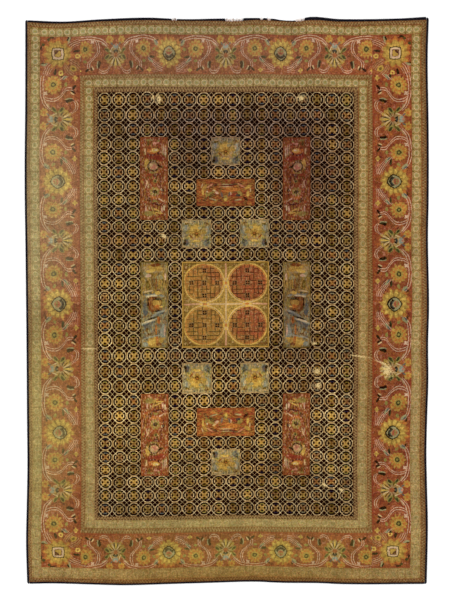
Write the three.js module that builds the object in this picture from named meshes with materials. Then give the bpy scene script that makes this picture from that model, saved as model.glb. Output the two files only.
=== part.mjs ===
// Hand-knotted Indian carpet of about 10 by 14 feet, lying flat with its pile up.
// X runs across the width, Y along the length and Z up. Sizes are millimetres.
import * as THREE from 'three';

// Driving sizes
const HALF_WIDTH = 1525;
const HALF_LENGTH = 2140;
const THICKNESS = 10;
const SELVEDGE_WIDTH = 17;
const SELVEDGE_HEIGHT = 9;
const LOWER_BINDING_WIDTH = 14;
const UPPER_BINDING_WIDTH = 20;
const BINDING_HEIGHT = 8.5;
const PIECE_GAP = 0.3;
const STATION_STEP = 45;
const SELVEDGE_END_ROUND = 12;
const REMNANT_END_ROUND = 6;

// The right selvedge runs on past the upper binding's line, and the left one stops level with it
const SELVEDGE_TOP = { left: -6, right: 13 };
const SELVEDGE_BOTTOM = { left: 2, right: 3 };

// How far each side lies outside its straight line, going up the length
const LEFT_SIDE = [
  { along: -2150, out: -9 },
  { along: -1824, out: 0 },
  { along: -1551, out: -5 },
  { along: -1278, out: -10 },
  { along: -869, out: -7 },
  { along: -323, out: -3 },
  { along: 86, out: 1 },
  { along: 496, out: 6 },
  { along: 769, out: 10 },
  { along: 1042, out: 11 },
  { along: 1451, out: 7 },
  { along: 2150, out: 6 },
];
const RIGHT_SIDE = [
  { along: -2150, out: -11 },
  { along: -1687, out: -2 },
  { along: -1414, out: -8 },
  { along: -1142, out: -13 },
  { along: -869, out: -7 },
  { along: -596, out: 2 },
  { along: -323, out: 0 },
  { along: -50, out: 7 },
  { along: 496, out: -1 },
  { along: 769, out: 4 },
  { along: 1315, out: 4 },
  { along: 1860, out: -3 },
  { along: 2150, out: 5 },
];

// How far the lower end lies outside its straight line, going across the width
const LOWER_END = [
  { along: -1520, out: 2 },
  { along: -1330, out: -1 },
  { along: -963, out: 9 },
  { along: -782, out: 13 },
  { along: -418, out: 3 },
  { along: -145, out: -5 },
  { along: 219, out: -14 },
  { along: 400, out: -6 },
  { along: 740, out: -2 },
  { along: 820, out: 3 },
  { along: 1520, out: 3 },
];

// The upper end: the knotted edge, and the outer line that its binding kept
const UPPER_KNOTS = [
  { along: -1520, out: -3 },
  { along: -1342, out: -13 },
  { along: -1236, out: -14 },
  { along: -963, out: 2 },
  { along: -600, out: 12 },
  { along: -327, out: 7 },
  { along: -39, out: 6 },
  { along: 60, out: 3 },
  { along: 219, out: 14 },
  { along: 477, out: 1 },
  { along: 560, out: 2 },
  { along: 600, out: 11 },
  { along: 856, out: 1 },
  { along: 1310, out: 8 },
  { along: 1520, out: 15 },
];
const UPPER_BINDING_LINE = [
  { along: -1520, out: -7 },
  { along: -1236, out: -17 },
  { along: -963, out: 0 },
  { along: -600, out: 13 },
  { along: -327, out: 1 },
  { along: -60, out: 6 },
  { along: 219, out: 10 },
  { along: 340, out: 6 },
  { along: 430, out: -9 },
  { along: 560, out: -2 },
  { along: 590, out: 13 },
  { along: 856, out: 2 },
  { along: 1310, out: 7 },
  { along: 1520, out: 20 },
];

// The upper binding is worn through in places, so it is left in six lengths
const UPPER_REMNANTS = [
  { from: -1520, to: -419 },
  { from: -384, to: -12 },
  { from: 120, to: 253 },
  { from: 271, to: 306 },
  { from: 329, to: 522 },
  { from: 585, to: 1520 },
];

// Section of an overcast edge, as shares of its width and height, flat where it rests
const OVERCAST_SECTION = [
  { across: 0, up: 0 },
  { across: 0.82, up: 0 },
  { across: 1, up: 0.3 },
  { across: 1, up: 0.7 },
  { across: 0.82, up: 1 },
  { across: 0.15, up: 1 },
  { across: 0, up: 0.85 },
];

const knottedWool = new THREE.MeshStandardMaterial({ color: 0x8f6a3c, roughness: 0.95, metalness: 0 });
const overcastWool = new THREE.MeshStandardMaterial({ color: 0x14111c, roughness: 0.9, metalness: 0 });

// A smooth line through a table's rows, straight from one station to the next,
// so that pieces that share the line stay parallel
function lineThrough(rows) {
  const alongs = rows.map((row) => row.along);
  const offsets = rows.map((row) => row.out);
  const smooth = new THREE.CubicInterpolant(alongs, offsets, 1);
  return (along) => {
    const station = Math.floor(along / STATION_STEP) * STATION_STEP;
    const [before] = smooth.evaluate(station);
    const [after] = smooth.evaluate(station + STATION_STEP);
    return THREE.MathUtils.lerp(before, after, (along - station) / STATION_STEP);
  };
}

const leftOut = lineThrough(LEFT_SIDE);
const rightOut = lineThrough(RIGHT_SIDE);
const lowerOut = lineThrough(LOWER_END);
const upperKnotsOut = lineThrough(UPPER_KNOTS);
const upperBindingOut = lineThrough(UPPER_BINDING_LINE);

const KNOTTED_HALF_WIDTH = HALF_WIDTH - SELVEDGE_WIDTH - PIECE_GAP;
const LOWER_KNOTS = HALF_LENGTH - LOWER_BINDING_WIDTH - PIECE_GAP;
const UPPER_KNOTS_LINE = HALF_LENGTH - UPPER_BINDING_WIDTH - PIECE_GAP;

// The four edges of the knotted cloth
const knottedLeft = (y) => -KNOTTED_HALF_WIDTH - leftOut(y);
const knottedRight = (y) => KNOTTED_HALF_WIDTH + rightOut(y);
const knottedBottom = (x) => -LOWER_KNOTS - lowerOut(x);
const knottedTop = (x) => UPPER_KNOTS_LINE + upperKnotsOut(x);

// The stations between two places, in the order from the first to the second
function stations(from, to) {
  const first = Math.floor(Math.min(from, to) / STATION_STEP) + 1;
  const last = Math.ceil(Math.max(from, to) / STATION_STEP) - 1;
  const count = Math.max(0, last - first + 1);
  const between = Array.from({ length: count }, (_, i) => (first + i) * STATION_STEP);
  return from < to ? between : between.reverse();
}

// A closed body from rings of the same number of points, capped at both ends
function loft(rings) {
  const size = rings[0].length;
  const points = rings.flat();
  const faces = [];
  for (let r = 0; r < rings.length - 1; r += 1) {
    for (let i = 0; i < size; i += 1) {
      const next = (i + 1) % size;
      const a = r * size + i;
      const b = r * size + next;
      const c = (r + 1) * size + next;
      const d = (r + 1) * size + i;
      faces.push(a, c, b, a, d, c);
    }
  }
  const last = (rings.length - 1) * size;
  for (let i = 1; i < size - 1; i += 1) {
    faces.push(0, i, i + 1);
    faces.push(last, last + i + 1, last + i);
  }
  const geometry = new THREE.BufferGeometry();
  geometry.setAttribute('position', new THREE.Float32BufferAttribute(points.flat(), 3));
  geometry.setIndex(faces);
  geometry.computeVertexNormals();
  return geometry;
}

// How full an overcast edge is near its ends, which are drawn in round
function fullness(distance, round) {
  const share = Math.min(1, Math.max(0.05, distance / round));
  return Math.sqrt(1 - (1 - share) ** 2);
}

// An overcast edge from one place to another. place(along, across) gives x and y,
// where across is measured outwards from the knotted cloth.
function overcastEdge(from, to, width, height, round, place, flip) {
  const ends = [0, 0.3, 1].map((share) => share * round);
  const alongs = [
    ...ends.map((distance) => from + distance),
    ...stations(from + round, to - round),
    ...ends.reverse().map((distance) => to - distance),
  ];
  const rings = alongs.map((along) => {
    const full = fullness(Math.min(along - from, to - along), round);
    const ring = OVERCAST_SECTION.map(({ across, up }) => {
      const [x, y] = place(along, PIECE_GAP + across * width(along) * full);
      return [x, y, up * height * full];
    });
    return flip ? ring.reverse() : ring;
  });
  return loft(rings);
}

// Where a side and an end of the knotted cloth meet
function corner(side, end) {
  let y = end(side(0));
  for (let pass = 0; pass < 3; pass += 1) y = end(side(y));
  return [side(y), y];
}

const lowerLeft = corner(knottedLeft, knottedBottom);
const lowerRight = corner(knottedRight, knottedBottom);
const upperLeft = corner(knottedLeft, knottedTop);
const upperRight = corner(knottedRight, knottedTop);

function carpetBody() {
  const outline = [
    lowerLeft,
    ...stations(lowerLeft[0], lowerRight[0]).map((x) => [x, knottedBottom(x)]),
    lowerRight,
    ...stations(lowerRight[1], upperRight[1]).map((y) => [knottedRight(y), y]),
    upperRight,
    ...stations(upperRight[0], upperLeft[0]).map((x) => [x, knottedTop(x)]),
    upperLeft,
    ...stations(upperLeft[1], lowerLeft[1]).map((y) => [knottedLeft(y), y]),
  ];
  const shape = new THREE.Shape(outline.map(([x, y]) => new THREE.Vector2(x, y)));
  return new THREE.ExtrudeGeometry(shape, { depth: THICKNESS, bevelEnabled: false });
}

function selvedge(side) {
  const isLeft = side === 'left';
  const from = -HALF_LENGTH - SELVEDGE_BOTTOM[side];
  const to = HALF_LENGTH + SELVEDGE_TOP[side];
  const place = isLeft
    ? (y, across) => [knottedLeft(y) - across, y]
    : (y, across) => [knottedRight(y) + across, y];
  const width = () => SELVEDGE_WIDTH;
  return overcastEdge(from, to, width, SELVEDGE_HEIGHT, SELVEDGE_END_ROUND, place, isLeft);
}

function lowerBinding() {
  const place = (x, across) => [x, knottedBottom(x) - across];
  const width = () => LOWER_BINDING_WIDTH;
  const [from] = lowerLeft;
  const [to] = lowerRight;
  return overcastEdge(from, to, width, BINDING_HEIGHT, REMNANT_END_ROUND, place, false);
}

function upperBinding({ from, to }) {
  const place = (x, across) => [x, knottedTop(x) + across];
  const width = (x) => UPPER_BINDING_WIDTH + upperBindingOut(x) - upperKnotsOut(x);
  const low = Math.max(from, upperLeft[0]);
  const high = Math.min(to, upperRight[0]);
  return overcastEdge(low, high, width, BINDING_HEIGHT, REMNANT_END_ROUND, place, true);
}

function piece(name, geometry, material) {
  const mesh = new THREE.Mesh(geometry, material);
  mesh.name = name;
  return mesh;
}

const carpet = new THREE.Group();
carpet.add(piece('carpet_body', carpetBody(), knottedWool));
carpet.add(piece('selvedge_left', selvedge('left'), overcastWool));
carpet.add(piece('selvedge_right', selvedge('right'), overcastWool));
carpet.add(piece('lower_binding', lowerBinding(), overcastWool));
UPPER_REMNANTS.forEach((remnant, index) => {
  carpet.add(piece(`upper_binding_${index + 1}`, upperBinding(remnant), overcastWool));
});

// The uneven outline is centred on the origin, which is under its middle on the floor
const reach = new THREE.Box3().setFromObject(carpet);
const middle = reach.getCenter(new THREE.Vector3());
carpet.position.set(-middle.x, -middle.y, 0);

export default carpet;
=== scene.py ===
from collections import namedtuple
from math import cos, pi, radians, sin

import bpy
import numpy as np
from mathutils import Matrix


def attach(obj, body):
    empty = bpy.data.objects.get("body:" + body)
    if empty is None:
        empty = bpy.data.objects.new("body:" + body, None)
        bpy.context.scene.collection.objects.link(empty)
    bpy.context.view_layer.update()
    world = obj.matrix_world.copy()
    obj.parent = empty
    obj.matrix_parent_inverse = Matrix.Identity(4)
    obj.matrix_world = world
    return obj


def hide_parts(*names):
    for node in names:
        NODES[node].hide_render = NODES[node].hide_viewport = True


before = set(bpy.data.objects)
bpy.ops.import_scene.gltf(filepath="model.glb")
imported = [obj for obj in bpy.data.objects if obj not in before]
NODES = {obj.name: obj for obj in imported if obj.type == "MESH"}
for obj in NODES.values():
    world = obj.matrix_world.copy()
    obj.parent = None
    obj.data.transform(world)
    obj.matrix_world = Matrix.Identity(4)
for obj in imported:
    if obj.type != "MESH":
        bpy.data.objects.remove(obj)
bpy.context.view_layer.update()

MM = 0.001

# The cloth's layers
BACK_THICKNESS = 4.0
PILE_BOTTOM = 4.2
PILE_TOP = 9.6
PILE_SINK = 0.5
CREASE_PLACE = -364
CREASE_HALF = 12
CREASE_DEPTH = 0.7
BALD_DEPTH = 1.6

# Bands from the knotted edge inwards, and how many faces wide each is drawn
BANDS = ("outer_stripe", "outer_guard", "main_border", "middle_stripe", "inner_guard", "inner_stripe")
BAND_WIDTHS = {
    "left": (22, 74, 301, 31, 74, 27),
    "right": (36, 77, 293, 33, 77, 30),
    "bottom": (27, 83, 263, 39, 61, 27),
    "top": (33, 72, 298, 31, 64, 40),
}
BAND_STEPS = (1, 3, 12, 1, 3, 1)
FIELD_LEVEL = len(BANDS)
MAIN_LEVEL = BANDS.index("main_border")
GUARD_LEVELS = (BANDS.index("outer_guard"), BANDS.index("inner_guard"))
INNER_WANDER = 0.5

# The field is a net of small ring tiles
COLUMNS = 18
ROWS = 30
CELL_STEPS = 4
CELL = 108.0

# The field's rows and columns drift: how far each grid line lies below or left of an even spacing
Drift = namedtuple("Drift", "line shift")
ROW_DRIFTS = (
    Drift(0, 0), Drift(1.5, 14), Drift(3, 22), Drift(5.5, 16), Drift(6.5, 20), Drift(8, 8), Drift(10, 1),
    Drift(14, 2), Drift(17.5, 3), Drift(18.5, 18), Drift(21.5, 41), Drift(23.5, 42), Drift(25.5, 33),
    Drift(27.5, 8), Drift(30, -4),
)
COLUMN_DRIFTS = (
    Drift(0, 2), Drift(3.5, 0), Drift(4.5, 2), Drift(5.5, 11), Drift(7.5, 3), Drift(9.5, 0),
    Drift(11.5, -3), Drift(13.5, 0), Drift(15.5, 11), Drift(17, 2), Drift(18, 0),
)

# Panels let into the field: first and last column, first and last row, counted from the upper left
Panel = namedtuple("Panel", "kind left right upper lower")
PANELS = (
    Panel("mist_square", 8, 9, 3, 4),
    Panel("mist_square", 8, 9, 25, 26),
    Panel("mist_square", 6, 7, 9, 10),
    Panel("mist_square", 10, 11, 9, 10),
    Panel("mist_square", 6, 7, 19, 20),
    Panel("mist_square", 10, 11, 19, 20),
    Panel("red_tall", 3, 4, 3, 8),
    Panel("red_tall", 13, 14, 3, 8),
    Panel("red_tall", 3, 4, 21, 26),
    Panel("red_tall", 13, 14, 21, 26),
    Panel("red_wide", 7, 10, 6, 7),
    Panel("red_wide", 7, 10, 22, 23),
    Panel("mist_tall", 3, 4, 12, 17),
    Panel("mist_tall", 13, 14, 12, 17),
    Panel("roundels", 6, 11, 12, 17),
)

# Main border: where its flowers stand along each way, corner to corner, every second one a palmette
SIDE_FLOWERS = (1875, 1375, 905, 458, -23, -516, -1001, -1433, -1918)
END_FLOWERS = (-1282, -842, -440, -8, 409, 818, 1273)
HALF_UNIT = 47.3
HALF_BORDER = 15.0
BORDER_AXIS = {"left": 1.3, "right": 1.55, "bottom": 1.7, "top": 0.7}
CORNER_AXIS = {
    ("left", "top"): (1.6, 1.9), ("right", "top"): (3.0, 1.1),
    ("left", "bottom"): (2.0, 1.9), ("right", "bottom"): (1.2, 0.6),
}
GUARD_PITCH = 58.0

PHOTO_HEIGHT = 604
PIXEL = 7.58
VIEW_CENTRE = (-2.5, -7.9)
LENS = 85.0
SENSOR = 36.0


def dye(red, green, blue):
    """A linear colour from 8-bit levels"""
    levels = (red / 255, green / 255, blue / 255)
    return tuple(v / 12.92 if v <= 0.04045 else ((v + 0.055) / 1.055) ** 2.4 for v in levels) + (1.0,)


DYES = {
    "night": dye(12, 2, 0),
    "soot": dye(24, 3, 0),
    "navy": dye(24, 24, 42),
    "slate": dye(84, 88, 82),
    "teal": dye(48, 60, 54),
    "forest": dye(50, 52, 24),
    "olive": dye(102, 82, 28),
    "moss": dye(142, 126, 62),
    "gold": dye(178, 138, 62),
    "yellow": dye(208, 168, 78),
    "straw": dye(202, 170, 118),
    "ivory": dye(218, 196, 148),
    "sand": dye(166, 134, 88),
    "sage": dye(152, 142, 98),
    "mist": dye(122, 114, 86),
    "sky": dye(142, 144, 124),
    "pink": dye(186, 120, 92),
    "blush": dye(208, 168, 134),
    "rose": dye(154, 78, 52),
    "coral": dye(148, 79, 42),
    "orange": dye(180, 106, 46),
    "rust": dye(122, 64, 28),
    "madder": dye(132, 53, 33),
    "plum": dye(74, 30, 26),
    "umber": dye(112, 78, 34),
    "brown": dye(84, 50, 14),
    "cotton": dye(228, 214, 202),
}


class Loom:
    """Builds a material's nodes from plain calls: numbers, places and dyes go in, sockets come out."""

    def __init__(self, tree):
        self.tree = tree

    def feed(self, socket, value):
        if isinstance(value, bpy.types.NodeSocket):
            self.tree.links.new(value, socket)
        elif isinstance(value, str):
            socket.default_value = DYES[value]
        elif value is not None:
            socket.default_value = value

    def node(self, kind, *values, **settings):
        made = self.tree.nodes.new("ShaderNode" + kind)
        for name, value in settings.items():
            setattr(made, name, value)
        for socket, value in zip(made.inputs, values):
            self.feed(socket, value)
        return made

    def math(self, operation, *values):
        return self.node("Math", *values, operation=operation).outputs[0]

    def vector(self, operation, *values):
        made = self.node("VectorMath", *values, operation=operation)
        return made.outputs["Value" if operation in ("LENGTH", "DOT_PRODUCT") else "Vector"]

    def mix(self, share, under, over, blend="MIX"):
        made = self.node("Mix", data_type="RGBA", blend_type=blend)
        self.feed(made.inputs["Factor"], share)
        self.feed(made.inputs[6], under)
        self.feed(made.inputs[7], over)
        return made.outputs[2]

    def group(self, tree, value):
        made = self.node("Group", node_tree=tree)
        self.feed(made.inputs[0], value)
        return made.outputs[0]

    def parts(self, point):
        split = self.node("SeparateXYZ", point)
        return split.outputs[0], split.outputs[1]

    def tints(self, colour):
        split = self.node("SeparateColor", colour)
        return split.outputs[0], split.outputs[1]

    def joined(self, x, y):
        return self.node("CombineXYZ", x, y).outputs[0]

    def spread(self, value, low, high, low_out=0.0, high_out=1.0):
        """Maps one range to another, held at both ends"""
        return self.node("MapRange", value, low, high, low_out, high_out).outputs[0]

    def noise(self, point, scale, detail=1.0, channels=False):
        made = self.node("TexNoise", noise_dimensions="3D")
        self.feed(made.inputs["Vector"], point)
        self.feed(made.inputs["Scale"], scale)
        self.feed(made.inputs["Detail"], detail)
        return made.outputs["Color" if channels else "Fac"]

    def chance(self, point):
        """Even random numbers for a place: one value, and a colour that holds three more"""
        made = self.node("TexWhiteNoise", point, noise_dimensions="3D")
        return made.outputs["Value"], made.outputs["Color"]

    def ramp(self, value, places, dyes, blend):
        """A colour ramp with a dye at each of its places"""
        made = self.node("ValToRGB", value)
        made.color_ramp.interpolation = blend
        stops = made.color_ramp.elements
        for _ in range(len(dyes) - 2):
            stops.new(0.5)
        for index, (place, name) in enumerate(zip(places, dyes)):
            stops[index].position = place
            stops[index].color = DYES[name]
        return made.outputs[0]

    def choice(self, value, *dyes):
        """One of several dyes, each as likely as it has entries"""
        return self.ramp(value, [index / len(dyes) for index in range(len(dyes))], dyes, "CONSTANT")

    def mottle(self, point, scale, *dyes):
        """Soft patches of a few dyes"""
        places = [0.3 + 0.4 * index / (len(dyes) - 1) for index in range(len(dyes))]
        return self.ramp(self.noise(point, scale, 2.0), places, dyes, "LINEAR")

    def flecks(self, point, scale, *dyes):
        """Small uneven patches, each of one of a few dyes"""
        made = self.node("TexVoronoi", voronoi_dimensions="2D", feature="F1")
        self.feed(made.inputs["Vector"], point)
        self.feed(made.inputs["Scale"], scale)
        return self.choice(self.tints(made.outputs["Color"])[0], *dyes)

    def shade(self, cloth, level):
        """A colour made lighter or darker by a factor"""
        grey = self.node("CombineColor", level, level, level).outputs[0]
        return self.mix(1.0, cloth, grey, "MULTIPLY")

    def reach(self, point, x, y, half_x, half_y, turn=0.0):
        """How far a point lies from a place, counted in an ellipse's half sizes"""
        if not turn:
            size = (1 / half_x, 1 / half_y, 0)
            middle = (-x / half_x, -y / half_y, 0)
            return self.vector("LENGTH", self.vector("MULTIPLY_ADD", point, size, middle))
        moved = self.vector("SUBTRACT", point, (x, y, 0))
        along, aside = cos(radians(turn)), sin(radians(turn))
        run = self.vector("DOT_PRODUCT", moved, (along / half_x, aside / half_x, 0))
        side = self.vector("DOT_PRODUCT", moved, (-aside / half_y, along / half_y, 0))
        return self.vector("LENGTH", self.joined(run, side))

    def inside(self, distance, sharp=7.0):
        """1 or more where a distance is under 1, with a short soft edge. Only for a mix, which clamps it."""
        return self.math("MULTIPLY_ADD", distance, -sharp, sharp + 0.5)

    def square(self, near, half, bar=None):
        """1 in a square, or in the cross of two bars within it, from distances to both sides"""
        x, y = self.parts(near)
        share = self.math("LESS_THAN", self.math("MAXIMUM", x, y), half)
        if bar is None:
            return share
        return self.math("MULTIPLY", share, self.math("LESS_THAN", self.math("MINIMUM", x, y), bar))

    def curve(self, value, points):
        """A smooth line through given points, whose values all lie from 0 to 1"""
        made = self.node("FloatCurve", 1.0, value)
        line = made.mapping.curves[0]
        line.points[0].location = points[0]
        line.points[1].location = points[-1]
        for place in points[1:-1]:
            line.points.new(*place)
        made.mapping.update()
        return made.outputs[0]


# Charts: each row is one knotted figure, laid over those before it. Sizes are centimetres, and
# repeats in the guards.
Patch = namedtuple("Patch", "dye x y half_x half_y turn", defaults=(0,))
Vine = namedtuple("Vine", "dye across half_width apart lines places")
Rosette = namedtuple("Rosette", "dye vein x y radius petals")
Lozenge = namedtuple("Lozenge", "dye x y half corners", defaults=(0.26,))


def lay_patch(loom, cloth, point, row, ragged):
    distance = loom.math("ADD", loom.reach(point, row.x, row.y, row.half_x, row.half_y, row.turn), ragged)
    return loom.mix(loom.inside(distance), cloth, row.dye)


def lay_rosette(loom, cloth, point, row, ragged):
    """A round flower with a scalloped rim and a softly drawn line between its petals"""
    moved = loom.vector("SUBTRACT", point, (row.x, row.y, 0))
    x, y = loom.parts(moved)
    turns = loom.math("MULTIPLY", loom.math("ARCTAN2", y, x), float(row.petals))
    lobes = loom.math("SINE", loom.math("MULTIPLY_ADD", ragged, 5.0, turns))
    rim = loom.math("MULTIPLY_ADD", lobes, 0.07 * row.radius, row.radius)
    distance = loom.math("DIVIDE", loom.vector("LENGTH", moved), rim)
    distance = loom.math("MULTIPLY_ADD", ragged, 0.9, distance)
    petals = loom.mix(loom.math("MULTIPLY_ADD", lobes, -0.58, 0.12), row.dye, row.vein)
    return loom.mix(loom.inside(distance), cloth, petals)


def lay_lozenge(loom, cloth, point, row, ragged):
    """A round shape drawn out a little to four corners"""
    moved = loom.vector("ABSOLUTE", loom.vector("SUBTRACT", point, (row.x, row.y, 0)))
    corner = loom.math("MULTIPLY", loom.math("ADD", *loom.parts(moved)), row.corners)
    reach = loom.math("MULTIPLY_ADD", loom.vector("LENGTH", moved), 0.96 - row.corners, corner)
    reach = loom.math("MULTIPLY_ADD", ragged, 1.4, reach)
    return loom.mix(loom.math("LESS_THAN", reach, row.half), cloth, row.dye)


def lay_vine(loom, cloth, point, row, ragged):
    """A pair of lines through a few places, and where lines is 3 a thinner one outside each of them"""
    x, y = loom.parts(point)
    run, side = (y, x) if row.across else (x, y)
    side = loom.math("ADD", side, ragged)
    runs = [place[1 if row.across else 0] for place in row.places]
    sides = [place[0 if row.across else 1] for place in row.places]
    first, last = runs[0], runs[-1]
    low, high = min(sides), max(sides)
    span = last - first
    rise = high - low
    share = loom.math("MULTIPLY_ADD", run, 1 / span, -first / span)
    points = [((r - first) / span, (s - low) / rise) for r, s in zip(runs, sides)]
    line = loom.math("MULTIPLY_ADD", loom.curve(share, points), rise, low)
    away = loom.math("ABSOLUTE", loom.math("SUBTRACT", side, line))
    drawn = loom.math("COMPARE", loom.math("PINGPONG", away, row.apart / 2), row.apart / 2, row.half_width)
    close = loom.math("LESS_THAN", away, row.apart * row.lines / 2)
    within = loom.math("COMPARE", share, 0.5, 0.5)
    return loom.mix(loom.math("MULTIPLY", loom.math("MULTIPLY", drawn, close), within), cloth, row.dye)


LAY = {Patch: lay_patch, Vine: lay_vine, Rosette: lay_rosette, Lozenge: lay_lozenge}


def lay_chart(loom, cloth, point, chart, place=None, scale=0.45, depth=0.9):
    """Lays a chart's figures in turn, a little ragged. The raggedness follows place where it is given,
    so that the two halves of a mirrored unit differ."""
    uneven = loom.noise(place or point, scale, 2.0)
    ragged = loom.math("MULTIPLY_ADD", uneven, depth, -depth / 2)
    for row in chart:
        cloth = LAY[type(row)](loom, cloth, point, row, ragged)
    return cloth


# Main border unit: x runs from a palmette (0) to the next leafy star (47.3), y points outwards
BORDER_CHART = (
    # Vines
    Vine(
        "pink", False, 0.22, 1.5, 2,
        ((6.0, -12.4), (9.0, -12.9), (12.0, -13.2), (15.0, -12.6), (18.6, -13.6)),
    ),
    Vine(
        "blush", False, 0.26, 1.9, 2,
        (
            (7.2, 3.4), (10.8, 8.6), (15.6, 11.6), (22.5, 12.6),
            (29.0, 12.2), (34.6, 10.8), (38.4, 8.4), (41.0, 5.2),
        ),
    ),
    Vine(
        "blush", True, 0.26, 1.7, 2,
        (
            (28.4, -12.6), (25.6, -10.4), (25.2, -7.4), (28.2, -4.0),
            (31.6, -0.8), (33.4, 2.8), (33.2, 6.8), (31.6, 10.2),
        ),
    ),
    Vine(
        "blush", False, 0.24, 1.7, 2,
        ((33.6, -11.0), (36.2, -13.8), (39.4, -13.4), (42.4, -10.0), (44.6, -7.0)),
    ),
    Vine(
        "blush", False, 0.26, 1.6, 3,
        ((5.6, -11.8), (8.6, -10.8), (12.0, -8.6), (15.4, -5.8), (18.6, -2.2)),
    ),
    # Leaves and buds
    Patch("sage", 11.4, 8.2, 2.8, 1.5, 50),
    Patch("slate", 10.8, 8.8, 1.8, 0.6, 50),
    Patch("night", 9.6, 10.2, 1.5, 0.7, 20),
    Patch("moss", 12.8, 3.4, 1.8, 1.2, -20),
    Patch("forest", 15.0, -2.6, 2.4, 1.0, 8),
    Patch("night", 15.6, -2.8, 1.2, 0.5, 8),
    Patch("sage", 16.4, -5.2, 2.8, 0.9, 40),
    Patch("slate", 17.4, -4.2, 2.0, 0.4, 40),
    Patch("yellow", 17.4, -12.6, 2.0, 0.9),
    Patch("gold", 17.4, -12.6, 0.9, 2.0),
    Patch("night", 24.2, -12.0, 2.1, 0.9, 40),
    Patch("night", 27.4, -11.2, 2.0, 0.7, -60),
    Patch("straw", 28.6, -10.6, 1.8, 0.5, -60),
    Patch("sage", 32.6, -8.2, 0.7, 2.9, -4),
    Patch("night", 33.8, -8.3, 1.1, 3.0, -4),
    Patch("night", 34.6, -6.6, 0.8, 1.2, 20),
    Patch("moss", 22.2, -5.6, 1.6, 1.1),
    Patch("blush", 28.4, 9.6, 1.8, 0.7, 40),
    Patch("blush", 28.4, 9.6, 0.7, 1.8, 40),
    # Rosette
    Rosette("gold", "orange", 22.4, 3.8, 6.2, 13),
    Rosette("orange", "gold", 22.4, 3.8, 4.8, 9),
    Rosette("gold", "moss", 22.4, 3.8, 3.4, 11),
    Patch("forest", 22.4, 3.8, 1.9, 1.9),
    Patch("moss", 22.4, 3.8, 0.9, 0.9),
    # Leafy star
    Rosette("gold", "orange", 42.3, 10.9, 2.9, 7),
    Patch("orange", 42.3, 10.9, 1.2, 1.2),
    Patch("sand", 38.2, 6.6, 3.0, 0.4, -30),
    Patch("blush", 37.4, 8.2, 3.0, 0.4, -36),
    Rosette("gold", "forest", 47.3, -3.0, 7.4, 11),
    Rosette("sand", "rust", 47.3, -3.2, 6.0, 13),
    Patch("gold", 43.6, -5.4, 2.4, 1.3, 40),
    Patch("yellow", 47.3, -6.4, 0.7, 3.0),
    Patch("straw", 45.2, -5.4, 0.5, 3.0, -28),
    Patch("forest", 46.2, -6.2, 0.4, 3.0, -14),
    Patch("brown", 44.0, -4.8, 0.4, 2.6, -42),
    Patch("forest", 42.6, -3.0, 0.5, 2.6, -64),
    Patch("moss", 40.6, -2.4, 2.7, 1.7, 45),
    Patch("forest", 40.2, -2.4, 2.0, 1.0, 45),
    Patch("moss", 40.4, 3.0, 2.5, 1.5, -40),
    Patch("forest", 40.0, 3.2, 1.8, 0.9, -40),
    Patch("olive", 42.2, 0.8, 2.2, 0.6, -30),
    Patch("straw", 43.6, 3.4, 0.5, 2.4, -24),
    Patch("slate", 43.8, 7.8, 1.6, 0.5, -58),
    Patch("sand", 47.3, 5.2, 2.8, 3.0),
    Patch("sky", 46.4, 5.8, 1.3, 1.7),
    Patch("pink", 47.3, 7.0, 1.0, 0.8),
    Patch("teal", 47.3, 2.4, 1.8, 0.8),
    Patch("night", 46.2, 1.2, 0.6, 1.9, 34),
    Patch("coral", 47.3, -1.0, 1.9, 1.8),
    # Palmette
    Rosette("orange", "coral", 0.0, 1.4, 11.2, 11),
    Rosette("gold", "umber", 0.0, 0.6, 10.2, 15),
    Rosette("yellow", "umber", 0.0, 0.2, 8.6, 13),
    Rosette("gold", "olive", 0.0, 0.0, 7.0, 15),
    Lozenge("night", 0.0, 0.0, 5.6),
    Lozenge("sage", 0.0, 0.2, 4.7),
    Patch("night", 0.0, -1.3, 3.7, 2.6),
    Patch("teal", 0.0, -1.0, 2.6, 1.6),
    Lozenge("sand", 0.0, 1.2, 2.9),
    Patch("rose", 0.0, 1.2, 2.2, 2.0),
    Patch("moss", 0.9, 1.8, 0.8, 0.7),
)

# Corner of the main border: y points outwards along the diagonal, x away from it to both sides
CORNER_CHART = (
    Vine("blush", False, 0.22, 1.7, 3, ((7.5, -3.2), (10.5, -2.4), (14.0, -3.2), (20.0, -6.4))),
    Vine("sand", True, 0.24, 1.5, 3, ((3.0, -20.0), (3.6, -16.0), (3.2, -13.5), (2.2, -10.0))),
    Patch("sage", 12.6, 1.8, 3.4, 1.5, 20),
    Patch("night", 12.8, 2.6, 2.6, 0.7, 20),
    Patch("night", 11.4, -8.6, 2.6, 1.0, -35),
    Patch("yellow", 9.0, -12.0, 1.9, 1.9),
    Patch("coral", 9.0, -12.0, 0.8, 0.8),
    Patch("night", 5.6, 12.2, 1.8, 0.8, -35),
    Patch("gold", 0.0, -16.5, 2.2, 2.6),
    Patch("olive", 0.0, -16.5, 1.0, 1.2),
    Rosette("orange", "coral", 0.0, 0.6, 11.0, 11),
    Rosette("gold", "olive", 0.0, 0.0, 9.4, 11),
    Rosette("gold", "yellow", 0.0, 0.0, 7.4, 15),
    Lozenge("night", 0.0, 0.0, 6.0, 0.6),
    Lozenge("straw", 0.0, 0.0, 5.2, 0.6),
    Lozenge("blush", 0.0, 0.0, 4.4, 0.6),
    Lozenge("brown", 0.0, 0.2, 3.4, 0.6),
    Lozenge("gold", 0.0, 0.0, 2.8, 0.6),
    Patch("plum", 0.6, 1.6, 1.4, 0.9),
    Patch("forest", 2.8, 12.6, 1.2, 1.2),
)

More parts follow.
